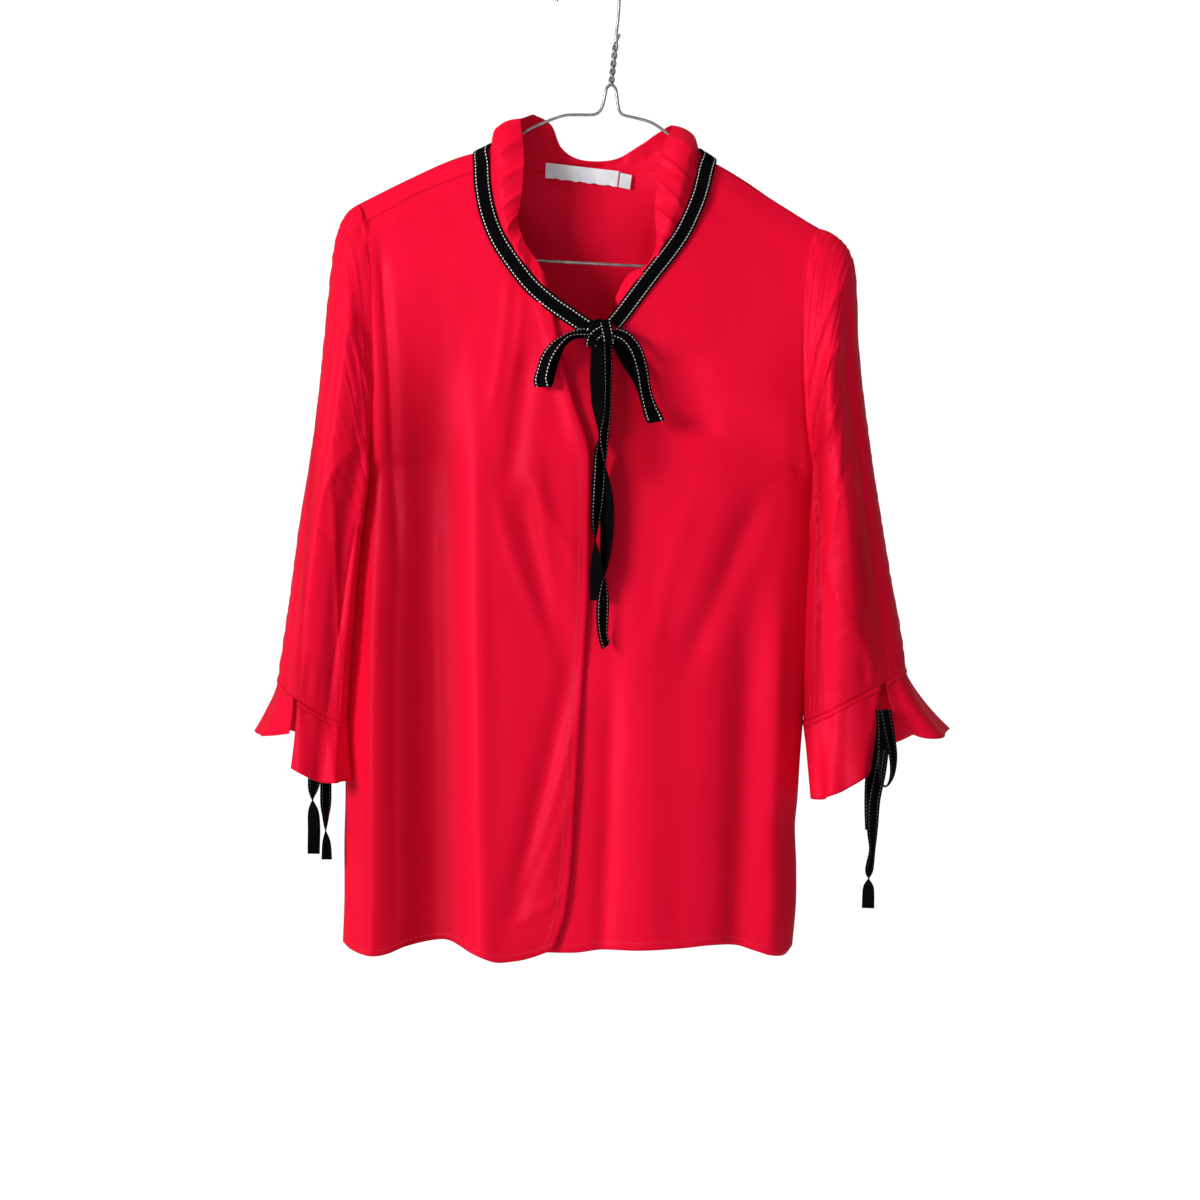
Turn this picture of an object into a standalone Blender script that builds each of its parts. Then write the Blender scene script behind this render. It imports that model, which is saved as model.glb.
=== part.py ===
"""Tie neck blouse on a wire hanger.

Metres, +Z up, front of the garment towards -Y, the wearer's right towards -X.
The origin is the top inside of the hook, where it rests on a rod.
Cloth is a wall of even thickness through sections worked out from the tables below.
Tables give x across and d down in steps of GRID, and y in millimetres.
"""
import math

import bmesh
import bpy
from mathutils import Vector

MM = 0.001
GRID = 0.8 * MM
HOOK_X = 588.0
HOOK_D = -34.0

CLOTH = 1.2 * MM
RIBBON = 1.0 * MM
TAPE_WIDTH = 13.6 * MM
TIE_WIDTH = 10.0 * MM
WIRE_RADIUS = 1.2 * MM
HOOK_RADIUS = 25.2 * MM
HOOK_STEPS = 13
HOOK_TURN = 190.0

PANEL_COLS = 15
PANEL_MORE_ROWS = 3
BACK_ROWS = 15
SLEEVE_TURNS = 22
SLEEVE_MORE_ROWS = 2
FRILL_COLS = 50
FRILL_ROWS = 4
COLLAR_COLS = 66
COLLAR_ROWS = 5
BAND_COLS = 26
TAPE_STEPS = 46

EDGE_POWER = 2.6
EDGE_SPREAD = 1.5
SEAM_GAP = 0.5 * MM
BACK_ROW_SPREAD = 1.35
# Shares of a panel's length over which its hem and its shoulder take their own lines.
HEM_SHARE = 0.14
SHOULDER_SHARE = 0.12
# Shares of a fold's length over which it rises, goes on past its lower end, and falls.
FOLD_RISE = 0.3
FOLD_PAST = 1.2
FOLD_FALL = 0.25

# Neck seam from the knot up the wearer's right side, round the back, down the left side.
# Columns: x, d, y, then the way the tape faces: lean from the front (0) over the shoulder (90)
# to the back (180), how far it also faces outwards along x, and how far it stands off the seam.
NECK = (
    (589, 330, -37.5, 0, 0, 2.3),
    (570, 317, -36, 0, 0, 2.3),
    (550, 303, -34, 0, 0, 2.3),
    (530, 285, -31, 0, 0, 2.3),
    (512, 262, -27, 5, 0, 2.3),
    (498, 240, -23, 10, 0, 2.3),
    (488, 215, -18, 15, 0, 2.6),
    (483, 190, -13, 20, 0, 3.2),
    (482, 170, -8, 32, -0.05, 3.4),
    (484, 154, -1, 80, -0.4, 4.9),
    (494, 153, 8, 130, -0.6, 3.6),
    (511, 161, 17, 165, -0.35, 2.6),
    (540, 169, 25, 178, -0.1, 2.3),
    (575, 172, 28, 180, 0, 2.3),
    (610, 172, 28, 180, 0, 2.3),
    (645, 169, 25, 178, 0.1, 2.3),
    (675, 163, 18, 165, 0.35, 2.6),
    (696, 158, 9, 130, 0.6, 3.6),
    (706, 159, 0, 80, 0.6, 4.4),
    (705, 173, -8, 32, 0.1, 3.4),
    (700, 195, -14, 20, 0, 3.4),
    (692, 215, -19, 15, 0, 2.7),
    (682, 235, -23, 10, 0, 2.3),
    (668, 255, -27, 5, 0, 2.3),
    (652, 275, -30.5, 0, 0, 2.3),
    (637, 295, -33.5, 0, 0, 2.3),
    (622, 315, -36, 0, 0, 2.3),
    (613, 326, -37.5, 0, 0, 2.3),
)

# Top edge of the standing neck frill, one row for each row of NECK that it uses: row, x, d, y, puff.
COLLAR_TOP = (
    (2, 545, 275, -28, 1),
    (3, 534, 257, -25, 1),
    (4, 524, 241, -21.5, 2),
    (5, 518, 221, -19, 3),
    (6, 521, 204, -21, 5),
    (7, 524, 176, -20, 6),
    (8, 524, 146, -15, 7),
    (9, 522, 120, -7, 8),
    (10, 535, 116, 6, 6),
    (11, 551, 124, 18, 3),
    (12, 562, 147, 25, 0),
    (13, 582, 158.5, 27, 0),
    (14, 614, 158, 27, 0),
    (15, 640, 144, 25, 0),
    (16, 655, 134, 18, 3),
    (17, 668, 127, 7, 6),
    (18, 672, 128, -5, 7),
    (19, 663, 148, -12, 7),
    (20, 659, 172, -16, 6),
    (21, 655, 200, -19, 4),
    (22, 655, 222, -21, 3),
    (23, 656, 244, -23, 2),
    (24, 648, 264, -25, 2),
    (25, 627, 277, -27, 3),
    (26, 615, 300, -31, 2),
)
COLLAR_FLUTES = 15
COLLAR_FLUTE = 1.6 * MM
TAPE_COVER = 6.5 * MM

# Armhole loops: tip and underarm in the plane of the hanger, half depth, and scoop towards the neck.
ARMHOLE = {
    "right": {"tip": (358.0, 205.5), "under": (364.0, 470.0), "depth": 22.0 * MM, "scoop": 13.0},
    "left": {"tip": (820.0, 229.5), "under": (818.0, 475.0), "depth": 22.0 * MM, "scoop": -17.0},
}

# Distance of the body's edge from the armhole loop, in steps of GRID.
ARMHOLE_STEP = 0.6
UNDERARM_STEP = 1.6
# Depth from which the edge draws away towards the underarm, and the reach of the blend into the side seam.
UNDERARM_FROM = 340.0
UNDERARM_LEAD = 4.0
UNDERARM_BLEND = 16.0

# Side seams below the armholes: d, x.
SIDE = {
    "right": ((470, 366), (500, 362.5), (545, 358), (580, 354), (615, 350.5), (665, 347.5), (720, 346),
              (800, 345.7), (840, 344.7), (900, 344.7), (950, 342.8)),
    "left": ((475, 816), (520, 816.5), (550, 815), (590, 812.5), (630, 810), (675, 806.5), (722, 802.5),
             (760, 799.5), (800, 797), (825, 794.6), (870, 796), (905, 795.5), (948, 791.5)),
}

# Hem, d under each x.
HEM = {
    "right": ((342, 940), (352, 949), (371, 955), (387, 953), (407, 945), (433, 939), (450, 939),
              (473, 952), (495, 960.5), (511, 960), (528, 957), (554, 948)),
    "left": ((528, 950), (575, 951), (600, 948), (640, 949), (680, 947), (710, 944), (735, 944),
             (755, 950), (770, 954.5), (784, 954), (792, 945)),
}

# Front panels, one row per section from the shoulder to the hem:
# x, d, y of the neck or closing edge, then d at the armhole or side seam.
FRONT = {
    "right": (
        (478, 171.5, -9.6, 224), (482.5, 190, -13, 246), (488, 215, -18, 274), (498, 240, -23, 303),
        (512, 262, -27, 332), (530, 285, -31, 361), (549, 303, -34.5, 390), (561, 350, -37.5, 420),
        (571, 392, -39.5, 450), (588, 440, -41.5, 482), (590.5, 475, -42, 512), (589.5, 545, -43, 565),
        (588, 605, -44, 615), (582, 690, -45, 690), (577, 780, -46, 780), (572, 860, -46, 860),
        (566, 910, -46, 910), (554, 948, -46, 941),
    ),
    "left": (
        (708, 159.5, -0.8, 229.8), (705, 174, -9, 248), (700, 195, -14, 272), (692, 215, -19, 296),
        (682, 235, -23, 320), (668, 255, -27, 343), (652, 275, -30.5, 366), (637, 295, -33.5, 388),
        (621, 317, -36, 410), (602, 334, -37, 430), (580, 344, -36, 447), (556, 362, -35, 462),
        (548, 400, -36.5, 484), (556, 460, -38.5, 514), (562, 530, -39.5, 550), (562, 605, -40.5, 610),
        (556, 700, -41.5, 705), (550, 790, -42.5, 790), (544, 860, -42.5, 860), (539, 910, -42.5, 910),
        (530, 949, -42.5, 944),
    ),
}

# Folds of the fronts: top x and d, bottom x and d, half width, height in millimetres (+ is a ridge).
FRONT_FOLDS = (
    (408, 300, 412, 1000, 27, -13),
    (462, 330, 481, 1000, 17, 8),
    (360, 520, 361, 1000, 12, 3),
    (505, 470, 562, 660, 13, -3),
    (577, 640, 518, 900, 12, -3),
    (532, 330, 512, 470, 11, -3),
    (548, 330, 578, 440, 8, 2),
    (763, 480, 690, 650, 16, -3),
    (750, 560, 735, 1000, 15, -4),
    (782, 520, 779, 1000, 13, 3),
    (676, 340, 694, 430, 22, -2.5),
    (640, 560, 646, 1000, 24, 2),
)

# Folds of the back, in the same columns.
BACK_FOLDS = (
    (402, 330, 398, 1000, 24, -9),
    (452, 300, 446, 1000, 18, 5),
    (508, 260, 500, 1000, 20, -7),
    (585, 190, 588, 1000, 9, -2.5),
    (566, 330, 556, 1000, 20, 5),
    (628, 300, 640, 1000, 22, -6),
    (690, 340, 700, 1000, 18, 5),
    (752, 330, 756, 1000, 22, -8),
)

# Back panel across the top edge: x, d, y from the right armhole tip to the left one.
BACK_TOP = (
    (358, 205.5, 0.7), (367, 200.8, 0.7), (407, 180.8, 0.7), (451, 160.8, 0.7), (478, 153.0, 1.0),
    (489, 154.5, 8.0), (511, 162.5, 17.0), (540, 170.5, 25.0), (575, 173.5, 28.0), (610, 173.5, 28.0),
    (645, 170.5, 25.0), (675, 164.5, 18.0), (700, 159.8, 8.0), (711, 161.5, 1.0), (744, 180.8, 0.7),
    (773, 200.8, 0.7), (805, 220.8, 0.7), (820, 229.5, 0.7),
)
BACK_DEPTH = ((0.0, 20), (0.1, 33), (0.25, 43), (0.5, 48), (0.75, 52), (1.0, 56))
BACK_HEM = ((342, 938), (400, 940), (500, 941), (600, 940), (700, 938), (760, 938), (792, 940))
BACK_SPREAD = 1.25
YOKE_SEAM = ((358, 226), (367, 221), (418, 193.5), (478, 170.5))
# The yoke in front of the crest: share of the way down to the seam, and y in millimetres.
YOKE_ROWS = ((0.12, -1.4), (0.5, -4.8), (0.98, -9.0))
SEAM_STEP = 1.0
# Columns of the back: shoulder, neck, shoulder.
YOKE_COLS = 9
NECK_COLS = 15
BACK_COLS = 2 * YOKE_COLS + NECK_COLS - 2

# Sleeve sections: outer x, d, inner x, d, front y, back y, scoop, skew, dip.
SLEEVE = {
    "right": (
        (357.4, 205.2, 363.4, 470, -22, 22, 13, 0, 0),
        (345, 216.6, 362.5, 472, -25, 25, 12, 0, 0),
        (336.2, 237, 361.5, 475, -28, 28, 11, 0, 0),
        (332.2, 262, 360.5, 479, -31, 30, 10, 1, 0),
        (328, 300, 359.5, 485, -33, 32, 8, 2, 0),
        (323, 350, 358, 496, -34, 37, 6, 3, 0),
        (318, 400, 355.5, 516, -35, 41, 4, 5, 0),
        (310, 460, 352.5, 546, -36, 45, 2, 7, 1),
        (300, 520, 349.5, 582, -36, 47, 0, 9, 3),
        (292, 580, 346.5, 622, -36, 47, 0, 11, 6),
        (285, 630, 343.5, 668, -34, 45, 0, 12, 10),
        (278.5, 676, 342.0, 716, -30, 40, 0, 12, 13),
    ),
    "left": (
        (820.6, 229.2, 818.6, 475, -22, 22, -17, 0, 0),
        (833, 234.5, 820, 477, -25, 25, -15, 0, 0),
        (846, 246, 821.5, 480, -28, 28, -13, 0, 0),
        (854, 265, 822.5, 484, -31, 30, -11, 0, 0),
        (857.2, 300, 823.5, 490, -33, 32, -9, 1, 0),
        (858.3, 345, 824, 500, -34, 37, -7, 2, 0),
        (864.3, 400, 823, 520, -35, 41, -5, 3, 0),
        (872.2, 460, 821.5, 551, -36, 45, -2, 4, 0),
        (881.4, 520, 819, 590, -36, 47, 0, 5, 1),
        (891.5, 580, 816, 634, -36, 47, 0, 6, 2),
        (899.5, 625, 812.5, 680, -34, 45, 0, 6, 3),
        (905.5, 668, 808.5, 720, -30, 40, 0, 6, 4),
    ),
}
SLEEVE_POWER = 2.5
# Share of a fold's depth that also draws the section in sideways.
SLEEVE_FOLD_ACROSS = 0.35
# Sleeve folds: place round the section in degrees from the outer edge over the front, width, depth.
SLEEVE_FOLDS = {
    "right": ((62, 16, 0.10), (100, 16, -0.13), (215, 20, -0.26), (258, 16, 0.06), (300, 20, -0.28)),
    "left": (
        (52, 14, -0.12), (88, 18, 0.05), (122, 14, -0.12), (220, 20, -0.26), (262, 16, 0.06), (305, 20, -0.28),
    ),
}

BAND_WIDTH = 4.0 * MM
# Cuff frills from the slit round the inner edge and the back to the slit again:
# place in degrees, then how far the lower edge lies sideways, down and back from the band.
FRILL = {
    "right": (
        (70, -6, 68, -7), (95, -3, 68, -9), (125, 0, 63, -8), (150, 1, 60, -5), (180, 2, 62, 0), (225, 2, 60, 8),
        (270, -3, 58, 12), (320, -14, 57, 11), (350, -22, 58, 7), (375, -21, 55, 2), (400, -14, 47, -2),
        (424, -5, 36, -4),
    ),
    "left": (
        (66, -10, 87, -7), (90, -3, 87, -10), (120, 3, 84, -9), (150, 7, 80, -5), (180, 9, 74, 0), (225, 9, 70, 8),
        (270, 10, 68, 12), (320, 28, 64, 11), (350, 44, 62, 7), (372, 42, 66, 2), (396, 28, 64, -2),
        (416, 14, 46, -4),
    ),
}
FRILL_WAVES = 8
FRILL_WAVE = 3.2 * MM

# Ribbons: x, d, y, lean, and turn of the face about the ribbon's own length; then steps along it.
BOW = {
    "bow_loop_right": ((
        (586.0, 334.5, -48.4, 0, -50), (575, 336.5, -51, 0, -56), (565, 340.5, -53, 0, -58),
        (554.5, 350, -54, 0, -50), (546.5, 362, -54, 0, -46), (541.8, 375, -53.5, 0, -42),
        (541.2, 382, -52.8, -15, -30), (543.6, 388.3, -50.2, -90, 0), (547.2, 382, -47.4, -165, 30),
        (549.6, 374, -46.6, -180, 42), (556, 361, -46.2, -180, 46), (565, 349, -45.8, -180, 50),
        (576, 341, -45.9, -180, 54), (586.0, 337.5, -46.2, -180, 50),
    ), 26),
    "bow_loop_left": ((
        (614.4, 333, -48.5, 0, 50), (627, 339, -52, 0, 46), (637, 352.5, -54.5, 0, 40),
        (643.5, 372, -55.5, 0, 30), (648.5, 395, -55, 0, 14), (652.3, 413, -54.2, -10, 3),
        (653.8, 423.5, -50.5, -90, 0), (650, 413, -47, -170, -3), (641.5, 396, -46.6, -180, -14),
        (633, 378, -46.6, -180, -28), (624.5, 361.5, -46.2, -180, -34), (617.5, 349, -46, -180, -44),
        (614.4, 342, -45.8, -180, -50),
    ), 26),
    "bow_tail_long": ((
        (602.8, 346.9, -49.0, 0, 3), (603, 365, -52, 0, 3), (603, 395, -52, 0, 0), (603, 415, -51.5, 0, 22),
        (604, 427, -50, 0, 58), (604.5, 438, -49.5, 0, 80), (604, 449, -50, 0, 58), (603, 461, -51.5, 0, 22),
        (602.5, 480, -52, 0, 0), (602.5, 520, -52, 0, -4), (602.5, 560, -52, 0, 0), (603, 595, -52, 0, 10),
        (604.5, 620, -51.5, 0, 28), (606, 646, -51, 0, 50),
    ), 34),
    "bow_tail_short": ((
        (600.5, 347.2, -46.4, 0, -3), (600.2, 365, -48, 0, -8), (600.2, 395, -48, 0, 0), (600, 415, -48, 0, 22),
        (599.8, 427, -48, 0, 58), (599.3, 438, -48, 0, 80), (599.8, 449, -48, 0, 58), (601, 461, -48, 0, 22),
        (602, 480, -48, 0, 0), (602, 530, -48, 0, 4), (601, 570, -48, 0, 0), (599.5, 601, -48, 0, -10),
    ), 28),
}
TIES = {
    "tie_right_front": (
        (306, 709, -26.6, 0, 0), (311, 740, -26.6, 0, 5), (315, 765, -26.5, 0, 0), (315, 780, -26.3, 0, 10),
        (313.8, 796, -26, 0, 75), (314.5, 812, -26, 0, 150), (315, 830, -26, 0, 180), (314.5, 853, -26, 0, 200),
    ),
    "tie_right_back": (
        (314, 714, -25.3, 0, 0), (320, 745, -24, 0, 10), (326, 775, -20, 0, 30), (326.5, 800, -18, 0, 30),
        (326.5, 815, -17, 0, 60), (326.5, 828, -17, 0, 85), (327.3, 842, -17, 0, 130), (327.5, 859, -17, 0, 145),
    ),
    "tie_left_long": (
        (881, 709, -29, 0, 20), (882, 740, -30, 0, 10), (879, 770, -30.5, 0, 0), (873, 800, -31, 0, 0),
        (871.5, 828, -31, 0, 30), (871.5, 848, -31, 0, 60), (868.5, 868, -31, 0, 50),
        (868, 877, -31, 0, 85), (867.5, 888, -31, 0, 150), (867, 907, -31, 0, 170),
    ),
    "tie_left_short": (
        (878, 711, -25.1, 0, 20), (875, 740, -24.6, 0, 0), (870, 775, -24, 0, -30), (869.5, 800, -24, 0, -20),
        (870.5, 829, -24, 0, 0),
    ),
    "tie_left_loop": (
        (884, 709, -29.8, 0, 20), (888, 732, -35.0, 0, 30), (891.8, 755, -40, 0, 50), (891.4, 772, -40, 0, 66),
        (887.5, 783, -40, 0, 80), (882.5, 785.5, -40, 0, 84), (879.2, 777, -40, 0, 80), (879.5, 762, -40, 0, 66),
        (881, 748, -40, 0, 50),
    ),
}

# Knot: sides across, back and up in millimetres, slant, and place.
KNOT_SIDES = (19.5, 11.6, 20.5)
KNOT_SLANT = 0.12
KNOT_PLACE = (600.0, 334.0, -46.3)

LABEL = ((545.5, 161.5), (619.5, 170.0), (617.5, 185.7), (545.0, 176.5))
SIZE_TAB = ((620.5, 171.5), (632.0, 174.0), (630.0, 188.5), (618.5, 186.0))
LABEL_COLS = 10
LABEL_Y = 23.0
LABEL_WALL = 1.0 * MM
LABEL_LEAN = 1.2
LABEL_BOW = 1.0

# Hanger arms and bar in the plane y = 0: x, d.
WIRE_RIGHT = (
    (606.8, 88), (605.2, 95), (602.5, 106), (599.0, 112), (594.0, 114.6), (580, 114.8), (566, 115.2),
    (556, 118), (548, 121), (528, 130), (507, 144.5), (488, 158), (451, 168), (407, 187), (375, 203.8),
    (352, 219), (344, 226.5), (340.4, 235.5), (342.8, 244), (352, 250.8),
)
WIRE_LEFT = (
    (838, 276.6), (846.5, 273.5), (849.6, 264), (846, 255), (836, 248), (820, 238.3), (773, 206.5),
    (744, 187.2), (714, 168.5), (690, 151.5), (668, 134), (658, 126.5), (650, 122), (636, 118),
    (623, 114.8), (619.8, 111.5), (618.2, 106), (616.8, 95), (615.2, 88),
)
WIRE_BAR = ((470, 257.1), (600, 264.0), (720, 270.4))
WIRE_STEM = ((618.2, 18), (616.2, 36))
WIRE_END = ((619.6, 34),)
TWIST_TOP = 48.0
TWIST_BOTTOM = 84.0
TWIST_X = (615.2, 611.2)
TWIST_TURNS = 2.25
TWIST_RADIUS = 1.45 * MM
TWIST_STEPS = 20

COLOURS = {
    "satin": ((0.72, 0.012, 0.045), 0.38, 0.0),
    "ribbon": ((0.008, 0.008, 0.009), 0.75, 0.0),
    "steel": ((0.62, 0.62, 0.60), 0.35, 1.0),
    "label": ((0.80, 0.80, 0.80), 0.6, 0.0),
}


def at(x, d, y_mm):
    """Point of the tables in metres."""
    return Vector(((x - HOOK_X) * GRID, y_mm * MM, -(d - HOOK_D) * GRID))


def row_at(rows, keys, t):
    """Smooth curve through the rows of a table, each standing at its key."""
    last = len(rows) - 1
    i = 0
    while i < last - 1 and t > keys[i + 1]:
        i += 1
    span = keys[i + 1] - keys[i]
    s = min(1.0, max(0.0, (t - keys[i]) / span))
    before = max(0, i - 1)
    after = min(last, i + 2)
    values = []
    for p0, p1, p2, p3 in zip(rows[before], rows[i], rows[i + 1], rows[after]):
        m1 = (p2 - p0) / (keys[i + 1] - keys[before]) * span
        m2 = (p3 - p1) / (keys[after] - keys[i]) * span
        values.append(
            (2 * s**3 - 3 * s**2 + 1) * p1
            + (s**3 - 2 * s**2 + s) * m1
            + (3 * s**2 - 2 * s**3) * p2
            + (s**3 - s**2) * m2
        )
    return values


def even_row(rows, t):
    """Row of a table whose rows stand at even steps of t from 0 to 1."""
    return row_at(rows, [i / (len(rows) - 1) for i in range(len(rows))], t)


def keyed(rows, key):
    """Value of a table of pairs at a key."""
    return row_at([(pair[1],) for pair in rows], [pair[0] for pair in rows], key)[0]


def smooth(t):
    """Soft step from 0 to 1."""
    t = min(1.0, max(0.0, t))
    return t * t * (3 - 2 * t)


def material(slot):
    """Plain finish of a slot."""
    colour, roughness, metallic = COLOURS[slot]
    made = bpy.data.materials.new(slot)
    made.use_nodes = True
    shader = made.node_tree.nodes["Principled BSDF"]
    shader.inputs["Base Color"].default_value = (*colour, 1.0)
    shader.inputs["Roughness"].default_value = roughness
    shader.inputs["Metallic"].default_value = metallic
    return made


def add(name, mesh_or_curve, slot, home):
    """New object of the garment with its own finish."""
    obj = bpy.data.objects.new(name, mesh_or_curve)
    obj.data.materials.append(material(slot))
    home.objects.link(obj)
    return obj


def wall(name, points, faces, thickness, slot, home):
    """Sheet of the given mid surface, thickened evenly to both sides."""
    mesh = bpy.data.meshes.new(name)
    mesh.from_pydata([tuple(p) for p in points], [], faces)
    mesh.update()
    for polygon in mesh.polygons:
        polygon.use_smooth = True
    obj = add(name, mesh, slot, home)
    solid = obj.modifiers.new("Wall", "SOLIDIFY")
    solid.thickness = thickness
    solid.offset = 0.0
    solid.use_even_offset = False
    solid.use_rim = True
    return obj


def grid_faces(rows, cols, closed=False):
    """Quads of a grid of rows by cols points, stored row by row."""
    faces = []
    around = cols if closed else cols - 1
    for r in range(rows - 1):
        for c in range(around):
            n = (c + 1) % cols
            faces.append((r * cols + c, r * cols + n, (r + 1) * cols + n, (r + 1) * cols + c))
    return faces


def fold_height(folds, x, d):
    """Height of all folds over a point of the panel, in metres."""
    total = 0.0
    for x0, d0, x1, d1, half, height in folds:
        s = (d - d0) / (d1 - d0)
        if s <= 0 or s >= FOLD_PAST:
            continue
        centre = x0 + (x1 - x0) * s
        fade = smooth(s / FOLD_RISE) * smooth((FOLD_PAST - s) / FOLD_FALL)
        total += height * MM * fade * math.exp(-(((x - centre) / half) ** 2))
    return total


def armhole_edge(side, d):
    """x, and distance from the hanger's plane, of the armhole loop at a depth d."""
    loop = ARMHOLE[side]
    top_x, top_d = loop["tip"]
    low_x, low_d = loop["under"]
    s = min(1.0, max(0.0, (d - top_d) / (low_d - top_d)))
    swell = math.sqrt(max(0.0, 1 - (2 * s - 1) ** 2))
    return top_x + (low_x - top_x) * s + loop["scoop"] * swell, loop["depth"] * swell


def outer_edge(side, d):
    """x, and distance from the hanger's plane, of the body's edge at a depth d."""
    inward = 1.0 if side == "right" else -1.0
    under = ARMHOLE[side]["under"][1]
    seam_x = keyed(SIDE[side], max(d, SIDE[side][0][0]))
    if d >= under + UNDERARM_BLEND - UNDERARM_LEAD:
        return seam_x, SEAM_GAP
    hole_x, hole_y = armhole_edge(side, d)
    blend = smooth((d - under + UNDERARM_LEAD) / UNDERARM_BLEND)
    draw = max(0.0, (d - UNDERARM_FROM) / (under - UNDERARM_FROM))
    step = ARMHOLE_STEP + UNDERARM_STEP * draw**2
    x = (hole_x + inward * step) * (1 - blend) + seam_x * blend
    return x, max(hole_y * (1 - blend), SEAM_GAP)


def front_point(side, u, v):
    """Point of a front panel: u from the closing to the side, v from the shoulder to the hem."""
    x_in, d_in, y_in, d_out = even_row(FRONT[side], v)
    x_out, y_out = outer_edge(side, d_out)
    x = x_in + (x_out - x_in) * u
    d = d_in + (d_out - d_in) * u
    hem = keyed(HEM[side], x)
    base = FRONT[side][-1][1] + (FRONT[side][-1][3] - FRONT[side][-1][1]) * u
    d += (hem - base) * smooth((v - 1 + HEM_SHARE) / HEM_SHARE)
    if side == "right":
        first = FRONT[side][0]
        seam = keyed(YOKE_SEAM, x) + SEAM_STEP
        d += (seam - first[1] - (first[3] - first[1]) * u) * (1 - smooth(v / SHOULDER_SHARE))
    round_off = math.sqrt(max(0.0, 1 - u**EDGE_POWER))
    y = -y_out + (y_in * MM + y_out) * round_off
    y -= fold_height(FRONT_FOLDS, x, d) * smooth((1 - u) / 0.12) * smooth(v / 0.15)
    point = at(x, d, 0)
    point.y = y
    return point


def front_panel(side, home):
    """One front, from the shoulder seam to the hem."""
    rows = len(FRONT[side]) + PANEL_MORE_ROWS
    points = []
    for r in range(rows):
        for c in range(PANEL_COLS):
            u = 1 - (1 - c / (PANEL_COLS - 1)) ** EDGE_SPREAD
            points.append(front_point(side, u, r / (rows - 1)))
    faces = grid_faces(rows, PANEL_COLS)
    return wall(f"front_{side}", points, faces, CLOTH, "satin", home)


def back_across(c):
    """x of column c of the back's top edge."""
    right, left = BACK_TOP[0][0], BACK_TOP[-1][0]
    neck_right, neck_left = YOKE_SEAM[-1][0], BACK_TOP[13][0]
    if c < YOKE_COLS:
        return right + (neck_right - right) * (c / (YOKE_COLS - 1)) ** BACK_SPREAD
    c -= YOKE_COLS - 1
    if c < NECK_COLS:
        return neck_right + (neck_left - neck_right) * c / (NECK_COLS - 1)
    c = BACK_COLS - YOKE_COLS - c
    return left + (neck_left - left) * (c / (YOKE_COLS - 1)) ** BACK_SPREAD


def back_point(c, v):
    """Point of the back: c counts columns across, v goes from the top edge to the hem."""
    top_x, top_d, top_y = row_at(BACK_TOP, [row[0] for row in BACK_TOP], back_across(c))
    tip_r = ARMHOLE["right"]["tip"][1]
    tip_l = ARMHOLE["left"]["tip"][1]
    d_r = tip_r + (940 - tip_r) * v
    d_l = tip_l + (944 - tip_l) * v
    x_r, y_r = outer_edge("right", d_r)
    x_l, y_l = outer_edge("left", d_l)
    if v == 0:
        x_r, x_l = BACK_TOP[0][0] + ARMHOLE_STEP, BACK_TOP[-1][0] - ARMHOLE_STEP
    u = (top_x - BACK_TOP[0][0]) / (BACK_TOP[-1][0] - BACK_TOP[0][0])
    x = x_r + (x_l - x_r) * u
    d = top_d + (keyed(BACK_HEM, x) - top_d) * v
    edge = y_r + (y_l - y_r) * u
    middle = keyed(BACK_DEPTH, v) * MM
    round_off = math.sqrt(max(0.0, 1 - abs(2 * u - 1) ** EDGE_POWER))
    body = edge + (middle - edge) * round_off
    settle = math.sqrt(smooth(v / SHOULDER_SHARE))
    y = top_y * MM * (1 - settle) + body * settle
    y += fold_height(BACK_FOLDS, x, d) * smooth(min(u, 1 - u) / 0.08) * smooth(v / 0.2)
    point = at(x, d, 0)
    point.y = max(y, top_y * MM * (1 - settle), SEAM_GAP)
    return point


def back_panel(home):
    """Back with the yoke that wraps over the wearer's right shoulder to a forward seam."""
    points = []
    for r in range(BACK_ROWS):
        v = (r / (BACK_ROWS - 1)) ** BACK_ROW_SPREAD
        for c in range(BACK_COLS):
            points.append(back_point(c, v))
    faces = grid_faces(BACK_ROWS, BACK_COLS)
    faces = [tuple(reversed(face)) for face in faces]
    previous = list(range(YOKE_COLS))
    tip = points[0]
    tip_x = tip.x / GRID + HOOK_X
    for share, y_mm in YOKE_ROWS:
        start = len(points)
        for c in range(YOKE_COLS):
            top = points[c]
            x = top.x / GRID + HOOK_X
            seam = at(x, keyed(YOKE_SEAM, x), y_mm)
            down = (seam.z - top.z) * share
            low_x, low_y = armhole_edge("right", HOOK_D - (tip.z + down) / GRID)
            inward = (low_x + ARMHOLE_STEP - tip_x) * GRID * (1 - c / (YOKE_COLS - 1)) ** 2
            points.append(Vector((top.x + inward, y_mm * MM, top.z + down)))
        for c in range(YOKE_COLS - 1):
            faces.append((previous[c], previous[c + 1], start + c + 1, start + c))
        previous = [start + c for c in range(YOKE_COLS)]
    return wall("back", points, faces, CLOTH, "satin", home)


def sleeve_frame(side, v):
    """Centre, across and half depth vectors with the section's row, at v down the sleeve."""
    row = even_row(SLEEVE[side], v)
    outer = at(row[0], row[1], 0)
    inner = at(row[2], row[3], 0)
    centre = (outer + inner) / 2
    centre.y = (row[4] + row[5]) / 2 * MM
    return centre, (inner - outer) / 2, (row[5] - row[4]) / 2 * MM, row


def signed_power(value, power):
    """Power that keeps the sign."""
    return math.copysign(abs(value) ** power, value)


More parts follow.
